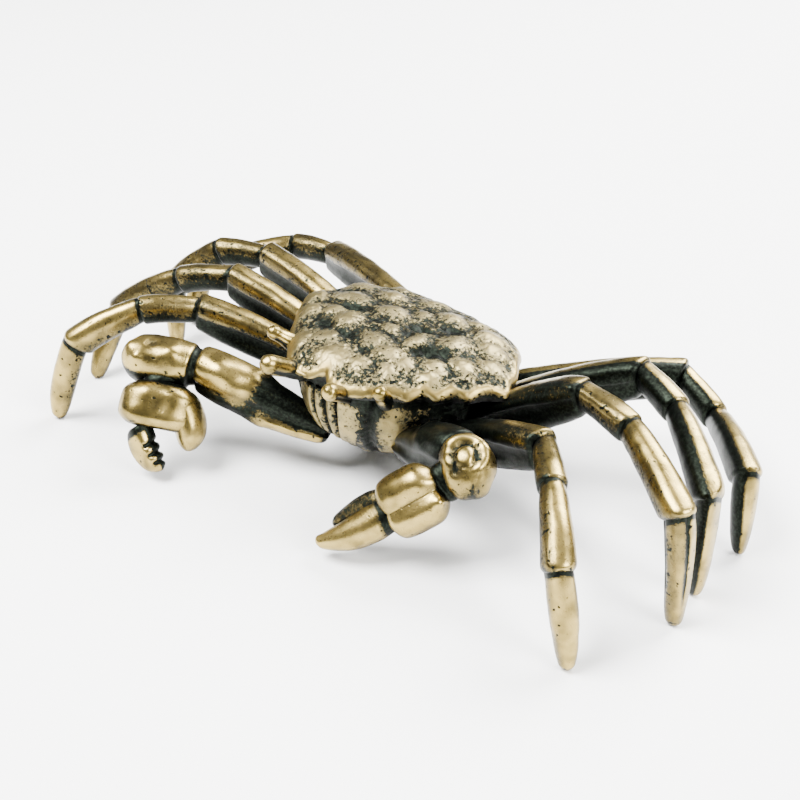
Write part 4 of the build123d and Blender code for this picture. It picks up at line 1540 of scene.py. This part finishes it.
@dataclass(frozen=True)
class Softbox:
    """A square light: its place and size in metres and its power in watts."""

    name: str
    place: Point
    size: float
    power: float

    def build(self) -> None:
        """Add the light, aimed at the middle of the crab."""
        data = bpy.data.lights.new(self.name, "AREA")
        data.shape = "SQUARE"
        data.size = self.size
        data.energy = self.power
        light = bpy.data.objects.new(self.name, data)
        middle = np.array([0, 0, 0.01])
        light.matrix_world = looking(np.array(self.place), unit(np.array(self.place) - middle))
        bpy.context.scene.collection.objects.link(light)


@dataclass
class Studio:
    """Pale floor, soft lights and the camera of the photograph."""

    camera_place: Point = (77.0, -96.25, 81.3)
    camera_turn: float = 38.0
    camera_rise: float = 31.2
    lens: float = 58.8
    sensor: float = 36.0
    floor_reach: float = 1.5
    # Sky from the horizon to overhead: height on the unit sphere, colour
    sky: tuple[tuple[float, str], ...] = ((0.12, "#6e7172"), (0.62, "#b0b2b2"))
    softboxes: tuple[Softbox, ...] = (
        Softbox("key_softbox", (-0.16, -0.18, 0.42), 0.26, 11.5),
        Softbox("back_softbox", (0.06, 0.34, 0.34), 0.3, 10.0),
        Softbox("side_softbox", (0.4, -0.02, 0.26), 0.2, 5.0),
    )

    def build(self) -> None:
        """Set up floor, sky, lights and camera."""
        self.build_floor()
        self.build_sky()
        for softbox in self.softboxes:
            softbox.build()
        self.build_camera()

    def build_floor(self) -> None:
        """Lay plain pale matt paper under the crab, one square face on the ground."""
        reach = self.floor_reach
        corners = [(-reach, -reach, 0), (reach, -reach, 0), (reach, reach, 0), (-reach, reach, 0)]
        mesh = bpy.data.meshes.new("studio_floor")
        mesh.from_pydata(corners, [], [(0, 1, 2, 3)])
        material = bpy.data.materials.new("white_paper")
        material.use_nodes = True
        shader = material.node_tree.nodes["Principled BSDF"]
        paper = {"Base Color": srgb("#f7f7f6"), "Roughness": 0.9, "Specular IOR Level": 0.1}
        for name, value in paper.items():
            shader.inputs[name].default_value = value
        mesh.materials.append(material)
        floor = bpy.data.objects.new("studio_floor", mesh)
        bpy.context.scene.collection.objects.link(floor)

    def build_sky(self) -> None:
        """Light from all round: bright overhead, darker towards the horizon, so that crowns stand out."""
        world = bpy.data.worlds.new("light_tent")
        bpy.context.scene.world = world
        world.use_nodes = True
        world.node_tree.nodes.clear()
        add = partial(add_node, world.node_tree)
        height = add("SeparateXYZ", {"Vector": add("TexCoord", {}, "Generated")}, "Z")
        tone = add("ValToRGB", {"Fac": height}, "Color")
        for stop, (position, colour) in zip(tone.node.color_ramp.elements, self.sky):
            stop.position = position
            stop.color = srgb(colour)
        add("OutputWorld", {"Surface": add("Background", {"Color": tone, "Strength": 1.0}, "Background")})

    def build_camera(self) -> None:
        """Put the camera where the photograph was taken from."""
        data = bpy.data.cameras.new("photo_camera")
        data.lens = self.lens
        data.sensor_width = self.sensor
        data.clip_start = 0.005
        camera = bpy.data.objects.new("photo_camera", data)
        # The camera looks from the crab's left of straight ahead, which is -Y, and from above
        turn, rise = radians(self.camera_turn), radians(self.camera_rise)
        away = np.array([sin(turn) * cos(rise), -cos(turn) * cos(rise), sin(rise)])
        camera.matrix_world = looking(np.array(self.camera_place) * MM, away)
        bpy.context.scene.collection.objects.link(camera)
        bpy.context.scene.camera = camera


def main() -> None:
    """Build the crab's castings in order, then the studio round them."""
    logging.basicConfig(level=logging.INFO, format="%(message)s")
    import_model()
    polished = AntiqueBrass("antique_brass_polished").build()
    # The shell is rubbed less evenly than the limbs: duller, with coarse speckle and deeper grain
    shell = AntiqueBrass(
        "antique_brass_rubbed_shell",
        gold_roughness=0.34,
        speckle_size=0.34,
        speckle_strength=0.95,
        grain_depth=0.05,
    ).build()
    Carapace().build(shell)
    Body().build(shell)
    for limb in LEGS + CLAWS + PEGS:
        limb.build(polished)
    for side in Side:
        MouthPlate(side).build(shell)
    TailFlap().build(shell)
    Studio().build()


if __name__ == "__main__":
    main()
